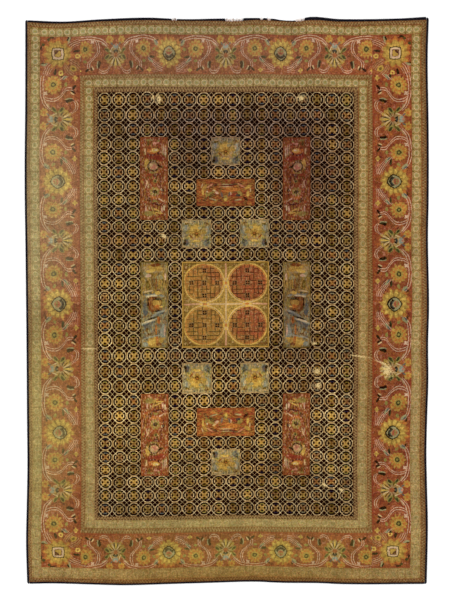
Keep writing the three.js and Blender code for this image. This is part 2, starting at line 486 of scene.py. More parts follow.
# Panels: x runs from the panel's middle towards the carpet's, y towards the nearer end
RED_TALL_CHART = (
    Patch("madder", 0.4, 15.4, 7.6, 2.6, -6),
    Patch("rust", 6.0, 5.4, 1.6, 2.8),
    Patch("plum", 4.2, -2.6, 0.5, 4.4, 4),
    Patch("olive", -6.6, 8.0, 1.6, 3.2),
    Patch("orange", 0.0, -14.8, 4.2, 1.6),
    Patch("moss", -4.6, -28.4, 4.0, 2.0),
    Patch("straw", 5.6, 21.8, 0.4, 4.4, 6),
    Patch("blush", 6.8, 21.6, 0.4, 5.0, 5),
    Patch("forest", 6.2, 20.0, 0.3, 4.2, 4),
    Patch("ivory", 8.2, 19.4, 0.4, 4.0, 3),
    Patch("straw", -7.4, 20.4, 0.5, 2.6),
    Patch("yellow", -6.4, 11.6, 1.4, 3.4, -10),
    Patch("blush", -6.8, -4.6, 0.4, 3.0, -10),
    Patch("straw", -5.4, -5.2, 0.4, 2.8, 14),
    Patch("ivory", -3.8, -6.0, 0.4, 1.6, 20),
    Patch("olive", -5.0, 27.0, 1.0, 2.4, 8),
    Patch("forest", -5.4, 26.2, 0.6, 1.4, 20),
    Patch("moss", -4.6, 29.4, 2.6, 0.8),
    Patch("pink", 0.4, 27.0, 2.4, 0.8),
    Patch("moss", 2.6, 28.6, 1.2, 0.8),
    Patch("orange", -2.2, 20.8, 3.6, 2.2),
    Patch("yellow", 0.0, 21.2, 3.0, 1.6),
    Patch("ivory", 0.6, 21.4, 1.2, 0.7),
    Patch("plum", -2.6, 17.8, 3.4, 0.7, -10),
    Patch("night", 2.4, 18.8, 1.1, 0.8, 45),
    Patch("gold", -5.6, 9.6, 1.6, 3.6, -10),
    Patch("yellow", -5.8, 11.0, 1.0, 1.8, -10),
    Patch("olive", -1.4, 13.4, 3.6, 0.8),
    Patch("moss", -1.8, 4.0, 2.8, 0.8),
    Patch("night", -1.4, 8.7, 4.3, 4.1),
    Patch("night", 2.2, 8.6, 2.4, 1.4),
    Patch("sand", -1.4, 8.7, 3.4, 3.2),
    Patch("pink", -1.0, 8.3, 2.5, 2.1),
    Patch("straw", -2.6, 9.6, 1.0, 1.2),
    Patch("night", 4.2, 8.6, 1.2, 0.8),
    Patch("plum", 0.4, 2.0, 2.4, 1.2, 20),
    Patch("moss", 0.0, -2.2, 1.6, 1.4),
    Patch("forest", 0.2, -2.2, 0.8, 0.7),
    Patch("brown", 1.1, -0.2, 0.7, 1.4, 10),
    Rosette("coral", "rust", -0.3, -9.6, 5.2, 9),
    Rosette("moss", "gold", -0.3, -10.4, 3.6, 7),
    Patch("night", -0.3, -10.6, 1.8, 1.6),
    Patch("ivory", 4.9, -8.8, 0.8, 1.0),
    Patch("night", 6.1, -9.0, 1.1, 1.4),
    Patch("blush", 4.0, -16.8, 1.8, 0.5, -30),
    Patch("blush", 5.4, -17.8, 1.4, 0.4, -40),
    Patch("plum", -4.3, -17.4, 0.9, 2.4, 24),
    Patch("night", -3.6, -18.4, 0.5, 1.4, 34),
    Patch("moss", 0.0, -18.3, 2.0, 0.8),
    Patch("plum", 1.0, -20.8, 4.4, 0.6, -8),
    Patch("blush", 5.4, -24.2, 0.6, 2.2),
    Patch("ivory", 7.2, -24.0, 0.6, 2.2),
    Patch("blush", -6.8, -24.6, 0.6, 2.4),
    Patch("straw", -4.2, -24.0, 0.4, 1.6),
    Patch("yellow", 1.6, -25.6, 3.4, 0.6, -24),
    Patch("gold", -1.8, -25.2, 0.6, 2.6, 24),
    Patch("olive", 0.4, -26.6, 3.0, 0.5, -10),
    Patch("yellow", 3.4, -27.8, 3.0, 0.5, -6),
    Patch("gold", 0.0, -28.6, 2.8, 0.6, -30),
)

RED_WIDE_CHART = (
    Patch("orange", 3.0, 2.6, 7.0, 2.2),
    Patch("plum", -9.0, 6.0, 3.4, 1.0, 24),
    Patch("plum", 6.4, 7.2, 5.4, 0.8, 6),
    Patch("madder", 5.4, -1.6, 3.4, 1.2, 20),
    Patch("straw", 0.0, 5.2, 5.2, 0.35),
    Patch("sage", 0.0, 7.0, 4.8, 0.35),
    Patch("plum", 0.0, 6.1, 5.0, 0.4),
    Patch("olive", -1.8, 8.2, 2.4, 0.6),
    Patch("pink", 11.6, 6.0, 3.4, 0.6, -34),
    Patch("pink", -11.8, 5.8, 3.4, 0.6, 34),
    Patch("slate", -2.8, -1.4, 0.8, 2.2, 10),
    Patch("slate", 2.6, -1.0, 0.6, 2.0, -14),
    Patch("blush", 3.8, -0.6, 0.5, 1.6),
    Patch("brown", -3.6, 3.4, 3.2, 0.7, -10),
    Patch("straw", -8.6, 2.0, 1.6, 0.6, -20),
    Patch("rose", -8.6, 0.2, 1.6, 1.2),
    Patch("blush", -6.4, 0.0, 1.5, 1.0, -20),
    Patch("moss", -11.0, -0.6, 3.0, 1.8, 34),
    Patch("forest", -10.4, -2.0, 2.6, 1.4, 40),
    Patch("moss", 10.6, -0.4, 2.6, 1.5, -50),
    Patch("teal", 9.4, -2.0, 1.8, 0.9, -20),
    Patch("plum", 7.0, 0.6, 1.8, 0.8),
    Patch("gold", -16.0, 3.6, 1.2, 3.6, -34),
    Patch("straw", -17.6, 5.8, 0.5, 1.8, -20),
    Patch("yellow", -17.0, 0.6, 0.9, 2.0),
    Patch("yellow", 16.4, -0.6, 0.9, 2.4),
    Patch("gold", 16.4, 4.6, 3.0, 1.3, 34),
    Patch("straw", 18.2, 2.2, 0.5, 2.0),
    Patch("moss", -14.6, -1.6, 0.8, 2.8),
    Patch("ivory", -13.8, 1.2, 0.7, 0.7),
    Patch("madder", 14.2, 0.6, 0.9, 2.6),
    Patch("plum", -15.4, -5.2, 2.2, 1.2, 40),
    Patch("night", 15.0, -5.0, 2.2, 1.0, -55),
    Patch("sage", -9.0, -5.4, 3.2, 0.6, -14),
    Patch("sage", 9.4, -5.8, 3.0, 0.6, 10),
    Patch("moss", 0.0, -4.4, 1.3, 2.4),
    Patch("yellow", 0.0, -5.6, 0.9, 1.4),
    Patch("plum", -4.0, -6.2, 2.4, 0.7, -30),
    Patch("madder", 4.0, -7.6, 9.0, 0.8, 3),
)

MIST_SQUARE_CHART = (
    Patch("slate", 7.2, -7.0, 2.2, 2.6),
    Patch("slate", -7.4, -6.8, 2.0, 2.6),
    Patch("sky", 7.8, 2.4, 1.4, 3.4),
    Patch("sky", -7.8, 4.4, 1.2, 3.0),
    Patch("olive", -7.0, 7.8, 2.0, 1.2, 30),
    Patch("brown", 7.4, 8.0, 1.6, 0.9, -30),
    Patch("forest", 8.2, -6.0, 0.8, 1.7),
    Patch("forest", -8.4, -5.8, 0.8, 1.6),
    Rosette("moss", "sage", 0.0, 0.2, 7.6, 9),
    Rosette("gold", "moss", 0.2, 0.4, 6.2, 13),
    Patch("yellow", -0.4, 3.4, 4.6, 2.6),
    Patch("sage", 2.6, 4.6, 1.6, 1.2),
    Rosette("sand", "gold", 0.6, -2.2, 4.4, 7),
    Rosette("gold", "brown", 0.0, 0.0, 3.4, 7),
    Patch("brown", 0.0, -0.6, 1.5, 1.4),
    Patch("orange", 0.4, -0.2, 0.7, 0.6),
    Patch("rust", -4.2, -2.2, 0.5, 2.0, 44),
    Patch("umber", 3.6, 3.6, 0.5, 1.8, -36),
    Patch("yellow", 0.0, -5.8, 3.0, 0.8),
    Patch("straw", 7.4, 3.0, 0.7, 1.8),
    Patch("straw", -6.8, 8.8, 2.2, 0.6),
    Patch("night", -8.8, -8.0, 1.0, 1.2),
)

MIST_TALL_CHART = (
    Patch("sage", -6.6, 23.4, 2.4, 3.0),
    Patch("sky", 6.4, -22.0, 2.2, 6.4),
    Patch("slate", -6.0, -16.0, 3.4, 3.2),
    Patch("slate", -7.4, -3.0, 2.0, 5.4),
    Patch("sage", 3.4, 20.4, 3.0, 1.6),
    Patch("sand", -1.6, 27.4, 7.4, 3.4),
    Patch("gold", 0.0, 28.0, 6.0, 3.0),
    Patch("yellow", -3.0, 25.6, 4.0, 1.2, 10),
    Patch("rust", 0.4, 30.2, 4.4, 1.2),
    Patch("blush", -4.6, 22.0, 2.6, 1.0, 10),
    Patch("rust", 1.4, 16.0, 0.6, 5.4),
    Patch("gold", 3.4, 16.2, 0.5, 5.0),
    Patch("umber", -2.0, 17.0, 1.0, 4.2, 8),
    Patch("olive", -5.6, 14.6, 1.6, 3.4),
    Patch("straw", -5.0, 10.0, 3.4, 0.7, 10),
    Patch("night", -3.4, 8.6, 1.7, 0.7, -20),
    Patch("slate", -5.6, 7.0, 3.4, 0.9, -12),
    Patch("sky", -2.4, 6.8, 5.6, 1.3, 8),
    Patch("ivory", -3.0, 6.2, 4.8, 0.8, 10),
    Patch("yellow", 2.4, 8.8, 2.4, 1.4),
    Patch("plum", 2.8, 10.8, 1.6, 0.5, 20),
    Patch("sky", 5.6, 6.6, 2.4, 0.9, -20),
    Patch("plum", -1.0, 5.0, 3.6, 0.9),
    Patch("moss", 6.6, 1.2, 1.6, 3.2),
    Patch("umber", -3.4, -0.2, 2.6, 5.6),
    Patch("umber", 2.8, -0.2, 3.0, 5.4),
    Patch("rust", -0.2, -0.2, 4.2, 5.6),
    Patch("rust", -3.0, 0.4, 3.0, 4.2),
    Patch("gold", 1.6, 1.0, 3.6, 2.4),
    Patch("orange", 2.2, -1.6, 3.2, 1.4),
    Patch("yellow", 4.6, -1.6, 1.6, 0.7),
    Patch("coral", -4.6, 0.6, 1.0, 1.8),
    Patch("night", 1.8, 4.1, 3.4, 0.9),
    Patch("night", -5.4, 0.6, 0.6, 4.8),
    Patch("night", 3.0, -5.0, 3.6, 0.7, 8),
    Patch("night", 5.0, -7.0, 2.6, 0.8, 30),
    Patch("sky", 2.8, -7.0, 6.4, 1.2, 28),
    Patch("slate", 2.0, -8.8, 5.8, 1.0, 30),
    Patch("night", 0.6, -10.0, 3.0, 0.6, 26),
    Patch("sky", -3.8, -12.9, 6.2, 1.4, 18),
    Patch("ivory", -4.4, -12.7, 5.4, 0.7, 18),
    Patch("night", -3.4, -11.0, 2.8, 0.7, 18),
    Patch("slate", -4.0, -14.8, 5.6, 0.9, 22),
    Patch("orange", 3.2, -12.2, 1.1, 3.0),
    Patch("rust", 3.6, -11.4, 0.5, 1.8),
    Patch("brown", -5.4, -20.4, 1.5, 2.4, 18),
    Patch("sage", -4.6, -20.8, 0.7, 1.4, 18),
    Patch("brown", -3.2, -22.4, 2.4, 0.5, 14),
    Patch("orange", 1.0, -19.4, 0.7, 3.6),
    Patch("sky", -2.0, -24.6, 5.6, 0.7, 12),
    Patch("blush", 7.8, -20.0, 0.8, 3.4),
    Patch("blush", 8.4, 21.0, 0.8, 3.0),
    Patch("gold", 0.6, -28.4, 7.4, 3.4, 8),
    Patch("yellow", -2.6, -28.6, 4.6, 1.5, 18),
    Patch("orange", 1.6, -27.0, 1.0, 2.8),
    Patch("sky", -7.0, -30.0, 2.2, 1.4),
    Patch("rust", 3.0, -29.8, 2.2, 1.0),
)


GUARD_CHART = (
    Patch("olive", 0.5, 0.44, 0.13, 0.13),
    Patch("umber", 0, 0, 0.47, 0.47),
    Patch("straw", 0, 0, 0.41, 0.4),
    Patch("sage", 0, 0, 0.31, 0.3),
    Patch("moss", 0, 0, 0.15, 0.14),
)

ROUNDEL_KNOTS = (
    Patch("yellow", 16.1, 0.0, 3.8, 2.2),
    Patch("straw", 16.1, 0.0, 4.6, 0.5, -24),
    Patch("straw", 16.1, 0.0, 4.6, 0.5, 24),
    Patch("yellow", 0.0, 16.1, 2.2, 3.8),
    Patch("straw", 0.0, 16.1, 0.5, 4.6, -24),
    Patch("straw", 0.0, 16.1, 0.5, 4.6, 24),
    Patch("orange", 16.1, 0.0, 1.6, 0.8),
    Patch("orange", 0.0, 16.1, 0.8, 1.6),
)

# Rings of a roundel: radius, half width, and the dyes near the middle of the four and away from it
ROUNDEL_RINGS = (
    (15.0, 0.5, "straw", "yellow"),
    (15.4, 0.3, "yellow", "gold"),
    (13.9, 0.26, "yellow", "orange"),
)
# Threads of the border's ground: level of the noise they follow, half width, strength and dye
BORDER_THREADS = ((0.5, 0.009, 0.7, "pink"), (0.57, 0.012, 0.5, "orange"), (0.42, 0.01, 0.8, "plum"))


def ring_tile(loom, point):
    """The field's tile, in repeats: a ring of fine pale lines round an eyed disc, on a dark ground"""
    value, colours = loom.chance(loom.vector("FLOOR", point))
    first, second = loom.tints(colours)
    line = loom.mix(first, "sand", "straw")
    line = loom.mix(loom.spread(loom.noise(point, 2.4), 0.4, 0.6, 0.0, 0.6), line, "ivory")
    lens = loom.choice(value, "olive", "umber", "sand", "mist", "slate", "umber", "moss", "navy", "olive")
    local = loom.vector("SUBTRACT", loom.vector("FRACTION", point), (0.5, 0.5, 0))
    local = loom.vector("ABSOLUTE", local)
    x, y = loom.parts(local)
    # The ring is part round and part eight-sided
    far = loom.math("MAXIMUM", x, y)
    slant = loom.math("MULTIPLY", loom.math("ADD", x, y), 0.72)
    round_reach = loom.math("MULTIPLY", loom.vector("LENGTH", local), 0.6)
    reach = loom.math("MULTIPLY_ADD", loom.math("MAXIMUM", far, slant), 0.4, round_reach)
    # Eight dark spots stand between the rings and the strokes that cross between them
    aside = loom.math("ABSOLUTE", loom.math("SUBTRACT", x, y))
    outside = loom.mix(loom.math("GREATER_THAN", aside, 0.027), loom.mix(0.4, line, "umber"), "soot")
    outside = loom.mix(loom.math("GREATER_THAN", aside, 0.262), outside, "umber")
    cloth = loom.mix(loom.math("LESS_THAN", reach, 0.476), outside, line)
    cloth = loom.mix(loom.math("LESS_THAN", reach, 0.436), cloth, "soot")
    # Strokes break the dark ring at its corners
    stroke = loom.math("MULTIPLY", loom.math("COMPARE", aside, 0.0, 0.03), 0.5)
    cloth = loom.mix(loom.math("MULTIPLY", stroke, loom.math("LESS_THAN", reach, 0.436)), cloth, line)
    # The disc, its two pale crescents, its two lenses and its four dots
    ground = loom.mottle(point, 4.0, "plum", "umber", "gold", "olive", "rust", "umber", "brown")
    plain = loom.choice(first, "brown", "olive", "plum", "rust", "gold", "umber", "gold")
    ground = loom.mix(0.45, ground, plain)
    spokes = loom.math("COMPARE", aside, 0.0, 0.04)
    drawn = loom.math("MULTIPLY", spokes, loom.spread(reach, 0.05, 0.14, 0.0, 0.32))
    ground = loom.mix(drawn, ground, line)
    cloth = loom.mix(loom.math("LESS_THAN", reach, 0.292), cloth, ground)
    cloth = loom.mix(loom.inside(loom.reach(local, 0, 0.284, 0.14, 0.044)), cloth, lens)
    crescent = loom.inside(loom.reach(local, 0.288, 0, 0.032, 0.14), 4)
    cloth = loom.mix(crescent, cloth, loom.mix(0.2, line, "umber"))
    cloth = loom.mix(loom.inside(loom.reach(local, 0.195, 0, 0.078, 0.082), 5), cloth, "soot")
    cloth = loom.mix(loom.inside(loom.reach(local, 0, 0.2, 0.094, 0.066), 5), cloth, "soot")
    # Each tile, and each few knots in it, took the dye a little differently
    cloth = loom.shade(cloth, loom.spread(second, 0.0, 1.0, 0.82, 1.12))
    return loom.shade(cloth, loom.spread(loom.noise(point, 9.0, 2.0), 0.34, 0.66, 0.76, 1.26))


def framed(loom, cloth, point, half_x, half_y, name):
    """A line round a panel's edge"""
    x, y = loom.parts(point)
    inset = loom.math(
        "MAXIMUM",
        loom.math("ADD", loom.math("ABSOLUTE", x), -half_x),
        loom.math("ADD", loom.math("ABSOLUTE", y), -half_y),
    )
    return loom.mix(loom.math("GREATER_THAN", inset, 0.0), cloth, name)


def flecked(loom, point, streak, *dyes):
    """A ground of small patches drawn out one way"""
    drawn = loom.vector("MULTIPLY", point, streak)
    return loom.mix(0.5, loom.mottle(drawn, 0.5, *dyes), loom.flecks(drawn, 1.0, *dyes))


def worn(loom, cloth, point, streak, share, *dyes):
    """Fine streaks of a few dyes over a panel's figures"""
    return loom.mix(share, cloth, loom.flecks(loom.vector("MULTIPLY", point, streak), 1.5, *dyes))


def panel(chart, ground, wear, half_sizes, rim, shift=None):
    """Paints a panel: a flecked ground, its chart, fine streaks of wear and a line round its edge"""

    def painter(loom, point):
        cloth = flecked(loom, point, *ground)
        local = loom.vector("SUBTRACT", point, shift) if shift else point
        cloth = lay_chart(loom, cloth, local, chart)
        cloth = worn(loom, cloth, point, *wear)
        return framed(loom, cloth, point, *half_sizes, rim)

    return painter


TALL_HALVES = (10.4, 31.8)
red_tall = panel(
    RED_TALL_CHART,
    ((1.3, 0.45, 1), "plum", "madder", "rust", "brown", "coral", "umber", "madder", "rust", "coral", "gold"),
    ((1.2, 0.5, 1), 0.34, "night", "plum", "madder", "moss", "brown", "coral", "blush"),
    TALL_HALVES,
    "rust",
    (0.6, 0.8, 0),
)
red_wide = panel(
    RED_WIDE_CHART,
    (
        (0.45, 1.3, 1),
        "plum", "madder", "coral", "rust", "umber", "coral", "orange", "madder", "brown", "rust",
    ),
    ((0.5, 1.2, 1), 0.34, "plum", "brown", "madder", "gold", "moss", "rose", "night"),
    (21.2, 10.3),
    "rust",
)
mist_square = panel(
    MIST_SQUARE_CHART,
    ((1.1, 0.6, 1), "mist", "sage", "sky", "straw", "moss", "slate", "olive", "sage", "sand", "sky"),
    ((0.9, 0.6, 1), 0.34, "brown", "olive", "rust", "gold", "night", "sage", "brown"),
    (10.5, 10.4),
    "sand",
)


def mist_tall(loom, point):
    """A pale panel, warm in its upper half and cold in its lower one"""
    cold_dyes = ("brown", "mist", "olive", "sage", "slate", "umber", "sand", "sky")
    warm_dyes = ("brown", "olive", "umber", "gold", "olive", "mist", "sand", "moss")
    cold = flecked(loom, point, (1.0, 0.5, 1), *cold_dyes)
    warm = flecked(loom, point, (1.2, 0.4, 1), *warm_dyes)
    cloth = loom.mix(loom.math("MULTIPLY_ADD", loom.parts(point)[1], 0.08, 0.33), cold, warm)
    cloth = lay_chart(loom, cloth, point, MIST_TALL_CHART, None, 0.3, 1.3)
    streaks = ("night", "rust", "brown", "moss", "gold", "sage", "brown")
    cloth = worn(loom, cloth, point, (0.9, 0.5, 1), 0.28, *streaks)
    return framed(loom, cloth, point, *TALL_HALVES, "olive")


def roundels(loom, point):
    """Four touching rings with a plain lattice, in a square frame"""
    quarter = loom.vector("ABSOLUTE", point)
    local = loom.vector("SUBTRACT", quarter, (16.1, 16.1, 0))
    x, y = loom.parts(local)
    bright = loom.spread(loom.vector("LENGTH", point), 8.0, 40.0)
    cloth = loom.flecks(point, 1.2, "brown", "olive", "umber", "moss", "olive", "sand", "umber")
    lit = loom.spread(bright, 0.0, 1.0, 0.6, 0.0)
    cloth = loom.mix(lit, cloth, loom.flecks(point, 1.3, "moss", "yellow", "gold"))
    # The discs are redder towards the carpet's right and its lower end
    lean = loom.math("ADD", *loom.parts(loom.vector("MULTIPLY", point, (0.013, 0.006, 0))))
    warm = loom.math("ADD", loom.noise(point, 0.12, 2.0), lean)
    fill = loom.mix(loom.spread(warm, 0.3, 0.7), "gold", "rose")
    specks = loom.flecks(point, 1.1, "madder", "orange", "rust", "coral", "umber", "sand", "olive")
    fill = loom.mix(0.5, fill, specks)
    # Lattice of fine lines, and blocks of four dots
    across = loom.math("COMPARE", loom.math("PINGPONG", x, 1.6), 1.6, 0.3)
    down = loom.math("COMPARE", loom.math("PINGPONG", y, 1.6), 1.6, 0.3)
    streaks = loom.noise(loom.vector("MULTIPLY", point, (1, 0.35, 1)), 0.4, 0.0)
    across = loom.math("MULTIPLY", across, loom.spread(streaks, 0.4, 0.5))
    streaks = loom.noise(loom.vector("MULTIPLY", point, (0.35, 1, 1)), 0.4, 0.0)
    down = loom.math("MULTIPLY", down, loom.spread(streaks, 0.4, 0.5))
    drawn = loom.math("MULTIPLY", loom.math("MAXIMUM", across, down), 0.9)
    fill = loom.mix(drawn, fill, loom.mix(loom.spread(warm, 0.3, 0.6), "forest", "night"))
    spot = loom.vector("ABSOLUTE", local)
    for place in ((0, 0), (9.6, 0), (0, 9.6)):
        near = loom.vector("ABSOLUTE", loom.vector("SUBTRACT", spot, (*place, 0)))
        block = loom.mix(loom.square(near, 1.5, 0.17), "night", fill)
        fill = loom.mix(loom.math("MULTIPLY", loom.square(near, 1.9), 0.4), fill, "sand")
        fill = loom.mix(loom.square(near, 1.5), fill, block)
    # The rings are brightest towards the middle, where they touch
    distance = loom.vector("LENGTH", local)
    cloth = loom.mix(loom.math("LESS_THAN", distance, 15.6), cloth, fill)
    for radius, half, near_dye, far_dye in ROUNDEL_RINGS:
        ring = loom.math("COMPARE", distance, radius, half)
        cloth = loom.mix(ring, cloth, loom.mix(bright, near_dye, far_dye))
    # Pale lines between the rings, with a knot where they touch
    near_x, near_y = loom.parts(quarter)
    gap = loom.math("MINIMUM", near_x, near_y)
    cloth = loom.mix(loom.math("LESS_THAN", gap, 1.3), cloth, loom.mix(bright, "gold", "olive"))
    cloth = loom.mix(loom.math("LESS_THAN", gap, 0.5), cloth, loom.mix(bright, "straw", "pink"))
    cloth = lay_chart(loom, cloth, quarter, ROUNDEL_KNOTS)
    cloth = framed(loom, cloth, point, 30.9, 30.9, "olive")
    cloth = framed(loom, cloth, point, 31.5, 31.5, "gold")
    return loom.mix(0.15, cloth, loom.mottle(point, 1.1, "night", "brown", "rust", "coral", "gold", "straw"))


def border_ground(loom, point):
    """Red ground with threads of fine scrolls"""
    cloth = loom.mottle(point, 0.09, "rust", "coral", "madder", "coral", "madder", "rust", "coral")
    cloth = loom.mix(0.2, cloth, loom.mottle(point, 0.8, "plum", "madder", "rust", "coral", "rust", "coral"))
    scroll = loom.noise(point, 0.2, 1.0)
    for level, half, share, name in BORDER_THREADS:
        thread = loom.math("COMPARE", scroll, level, half)
        cloth = loom.mix(loom.math("MULTIPLY", thread, share), cloth, name)
    # A bright red line keeps the ground from the bands beside it
    rim = loom.math("ABSOLUTE", loom.math("ADD", loom.parts(point)[1], 1.3))
    return loom.mix(loom.math("MULTIPLY", loom.math("GREATER_THAN", rim, 14.15), 0.6), cloth, "madder")


def aged_border(loom, cloth, point):
    """Fine streaks of neighbouring dyes over the border's figures"""
    return loom.mix(0.1, cloth, loom.flecks(point, 1.1, "plum", "rust", "moss", "gold", "madder", "brown"))


def main_border(loom, point):
    run, out = loom.parts(point)
    place = loom.joined(loom.math("PINGPONG", run, HALF_UNIT), out)
    cloth = lay_chart(loom, border_ground(loom, point), place, BORDER_CHART, point)
    return aged_border(loom, cloth, point)


def border_corner(loom, point):
    x, y = loom.parts(point)
    aside = loom.math("MULTIPLY", loom.math("ABSOLUTE", loom.math("SUBTRACT", x, y)), cos(pi / 4))
    outward = loom.math("MULTIPLY", loom.math("ADD", x, y), cos(pi / 4))
    cloth = lay_chart(loom, border_ground(loom, point), loom.joined(aside, outward), CORNER_CHART, point)
    return aged_border(loom, cloth, point)


def guard(loom, point):
    """A row of small rosettes on a pale ground, in repeats"""
    run, out = loom.parts(point)
    along = loom.math("SUBTRACT", loom.math("FRACT", run), 0.5)
    cloth = loom.mottle(point, 2.4, "umber", "sand", "moss", "sand", "straw")
    local = loom.vector("ABSOLUTE", loom.joined(along, out))
    cloth = lay_chart(loom, cloth, local, GUARD_CHART, point, 3.0, 0.5)
    cloth = loom.mix(loom.math("GREATER_THAN", loom.math("ABSOLUTE", out), 0.57), cloth, "rust")
    # The rosettes are faint towards the lower end
    height = loom.parts(loom.node("TexCoord").outputs["Object"])[1]
    patchy = loom.spread(loom.noise(point, 0.7), 0.3, 0.7, -0.15, 0.2)
    faint = loom.math("ADD", loom.spread(height, 1.5, -1.6, 0.16, 0.72), patchy)
    drawn = loom.vector("MULTIPLY", point, (1.0, 2.4, 1))
    faded = loom.mottle(drawn, 2.6, "olive", "sand", "moss", "sand", "gold")
    specks = loom.flecks(point, 8.0, "olive", "sand", "moss", "sage", "rose", "straw", "sand")
    faded = loom.mix(0.4, faded, specks)
    return loom.mix(faint, cloth, faded)


def stripe(ground, bead, dot):
    """A narrow stripe with a zigzag of beads and a dot in each of its bays"""

    def painter(loom, point):
        run, out = loom.parts(point)
        wave = loom.math("MULTIPLY_ADD", loom.math("PINGPONG", run, 1.1), 1.2, -0.66)
        near = loom.math("ABSOLUTE", loom.math("SUBTRACT", out, wave))
        cloth = loom.mix(loom.math("GREATER_THAN", near, 0.75), ground, dot)
        cloth = loom.mix(loom.math("MULTIPLY", loom.math("LESS_THAN", near, 0.28), 0.95), cloth, bead)
        return loom.mix(0.3, cloth, loom.mottle(point, 1.1, "brown", ground, bead, "umber", "olive"))

    return painter


PAINTERS = {
    "outer_stripe": stripe("brown", "sand", "rust"),
    "outer_guard": guard,
    "main_border": main_border,
    "middle_stripe": stripe("umber", "sand", "rust"),
    "inner_guard": guard,
    "inner_stripe": stripe("brown", "sand", "plum"),
    "field": ring_tile,
    "border_corner": border_corner,
    "red_tall": red_tall,
    "red_wide": red_wide,
    "mist_square": mist_square,
    "mist_tall": mist_tall,
    "roundels": roundels,
}
KINDS = tuple(PAINTERS)
# Knots in one unit of each chart
KNOTS = {kind: 3.2 for kind in KINDS}
KNOTS.update({"field": 34.0, "outer_guard": 18.0, "inner_guard": 18.0})
STRIPES = ("outer_stripe", "middle_stripe", "inner_stripe")

# Where the wool is faded or worn dark, and painted light and shade where it is lit up or shaded unevenly:
# soft ellipses with what each share of the dye is multiplied by, and how much of a pale wash comes over it
Fade = namedtuple("Fade", "x y half_x half_y tint share wash", defaults=(0.0, None))
BORDER_FADES_AND_LIGHT = (
    # Left
    Fade(-1400, 700, 480, 1250, (1.06, 1.2, 1.15), 0.36, (174, 154, 114)),
    Fade(-1400, -1000, 460, 1000, (1.02, 1.12, 1.0), 0.34, (170, 148, 92)),
    Fade(-1350, -160, 520, 210, (0.82, 0.8, 0.78)),
    Fade(-1330, -1430, 420, 120, (0.9, 0.88, 0.84)),
    # Upper end
    Fade(-300, 1865, 1700, 330, (0.82, 0.9, 1.04), 0.2, (160, 132, 98)),
    Fade(-900, 2050, 900, 120, (1.04, 1.08, 1.1)),
    # Lower end
    Fade(0, -1900, 1700, 380, (0.92, 1.0, 0.94), 0.2, (164, 142, 74)),
    Fade(0, -2100, 1700, 160, (0.86, 0.7, 0.58)),
    # Right
    Fade(1290, -100, 400, 2300, (0.88, 0.93, 0.98)),
    Fade(1450, 0, 90, 2300, (1.2, 1.1, 1.06)),
    Fade(1060, 0, 90, 1700, (1.04, 0.93, 0.82)),
)
# The field is dark at its upper end and upper right, light at its left and low down: abrash and fading,
# partly painted shade at the upper end and painted light at the left and low down
FIELD_FADES_AND_LIGHT = (
    Fade(0, 1250, 1200, 620, (0.86, 0.82, 0.9)),
    Fade(0, 1340, 1100, 190, (0.76, 0.74, 0.94)),
    Fade(-230, 1080, 220, 230, (0.76, 0.74, 0.8)),
    Fade(620, 1000, 460, 560, (0.72, 0.64, 0.74)),
    Fade(560, 100, 300, 1500, (0.86, 0.81, 0.84)),
    Fade(520, -30, 130, 330, (0.76, 0.72, 0.78)),
    Fade(-800, 470, 330, 130, (0.82, 0.74, 0.74)),
    Fade(-850, -500, 320, 1050, (1.3, 1.32, 1.2)),
    Fade(-160, -1000, 1000, 620, (1.28, 1.26, 1.16)),
    Fade(800, -900, 300, 620, (1.25, 1.26, 1.24)),
    Fade(0, -590, 1000, 120, (1.2, 1.2, 1.1)),
    Fade(260, -1280, 640, 120, (0.8, 0.76, 0.75)),
)

# Bald spots and scratches where the pile is worn down to the knots
Bald = namedtuple("Bald", "x y half_x half_y turn", defaults=(0,))
BALD_SPOTS = (
    Bald(-514, 1532, 26, 44), Bald(-560, 1545, 10, 30), Bald(562, 1538, 36, 26),
    Bald(-480, 490, 34, 20, -35), Bald(662, -322, 24, 14), Bald(683, -536, 32, 30),
    Bald(692, -642, 28, 28), Bald(868, -1435, 30, 16, -30), Bald(733, -1393, 32, 14, -30),
    Bald(1010, -420, 100, 9, -8), Bald(-1040, -362, 70, 9), Bald(1180, -470, 80, 7, -20),
    Bald(1215, -530, 56, 60),
)


def dye_group(name, given_type):
    """An empty node group that gives a dye: its tree, loom, what it is given, and where the dye goes"""
    tree = bpy.data.node_groups.new(name, "ShaderNodeTree")
    tree.interface.new_socket("Given", in_out="INPUT", socket_type=given_type)
    tree.interface.new_socket("Dye", in_out="OUTPUT", socket_type="NodeSocketColor")
    given = tree.nodes.new("NodeGroupInput")
    result = tree.nodes.new("NodeGroupOutput")
    return tree, Loom(tree), given.outputs[0], result.inputs[0]


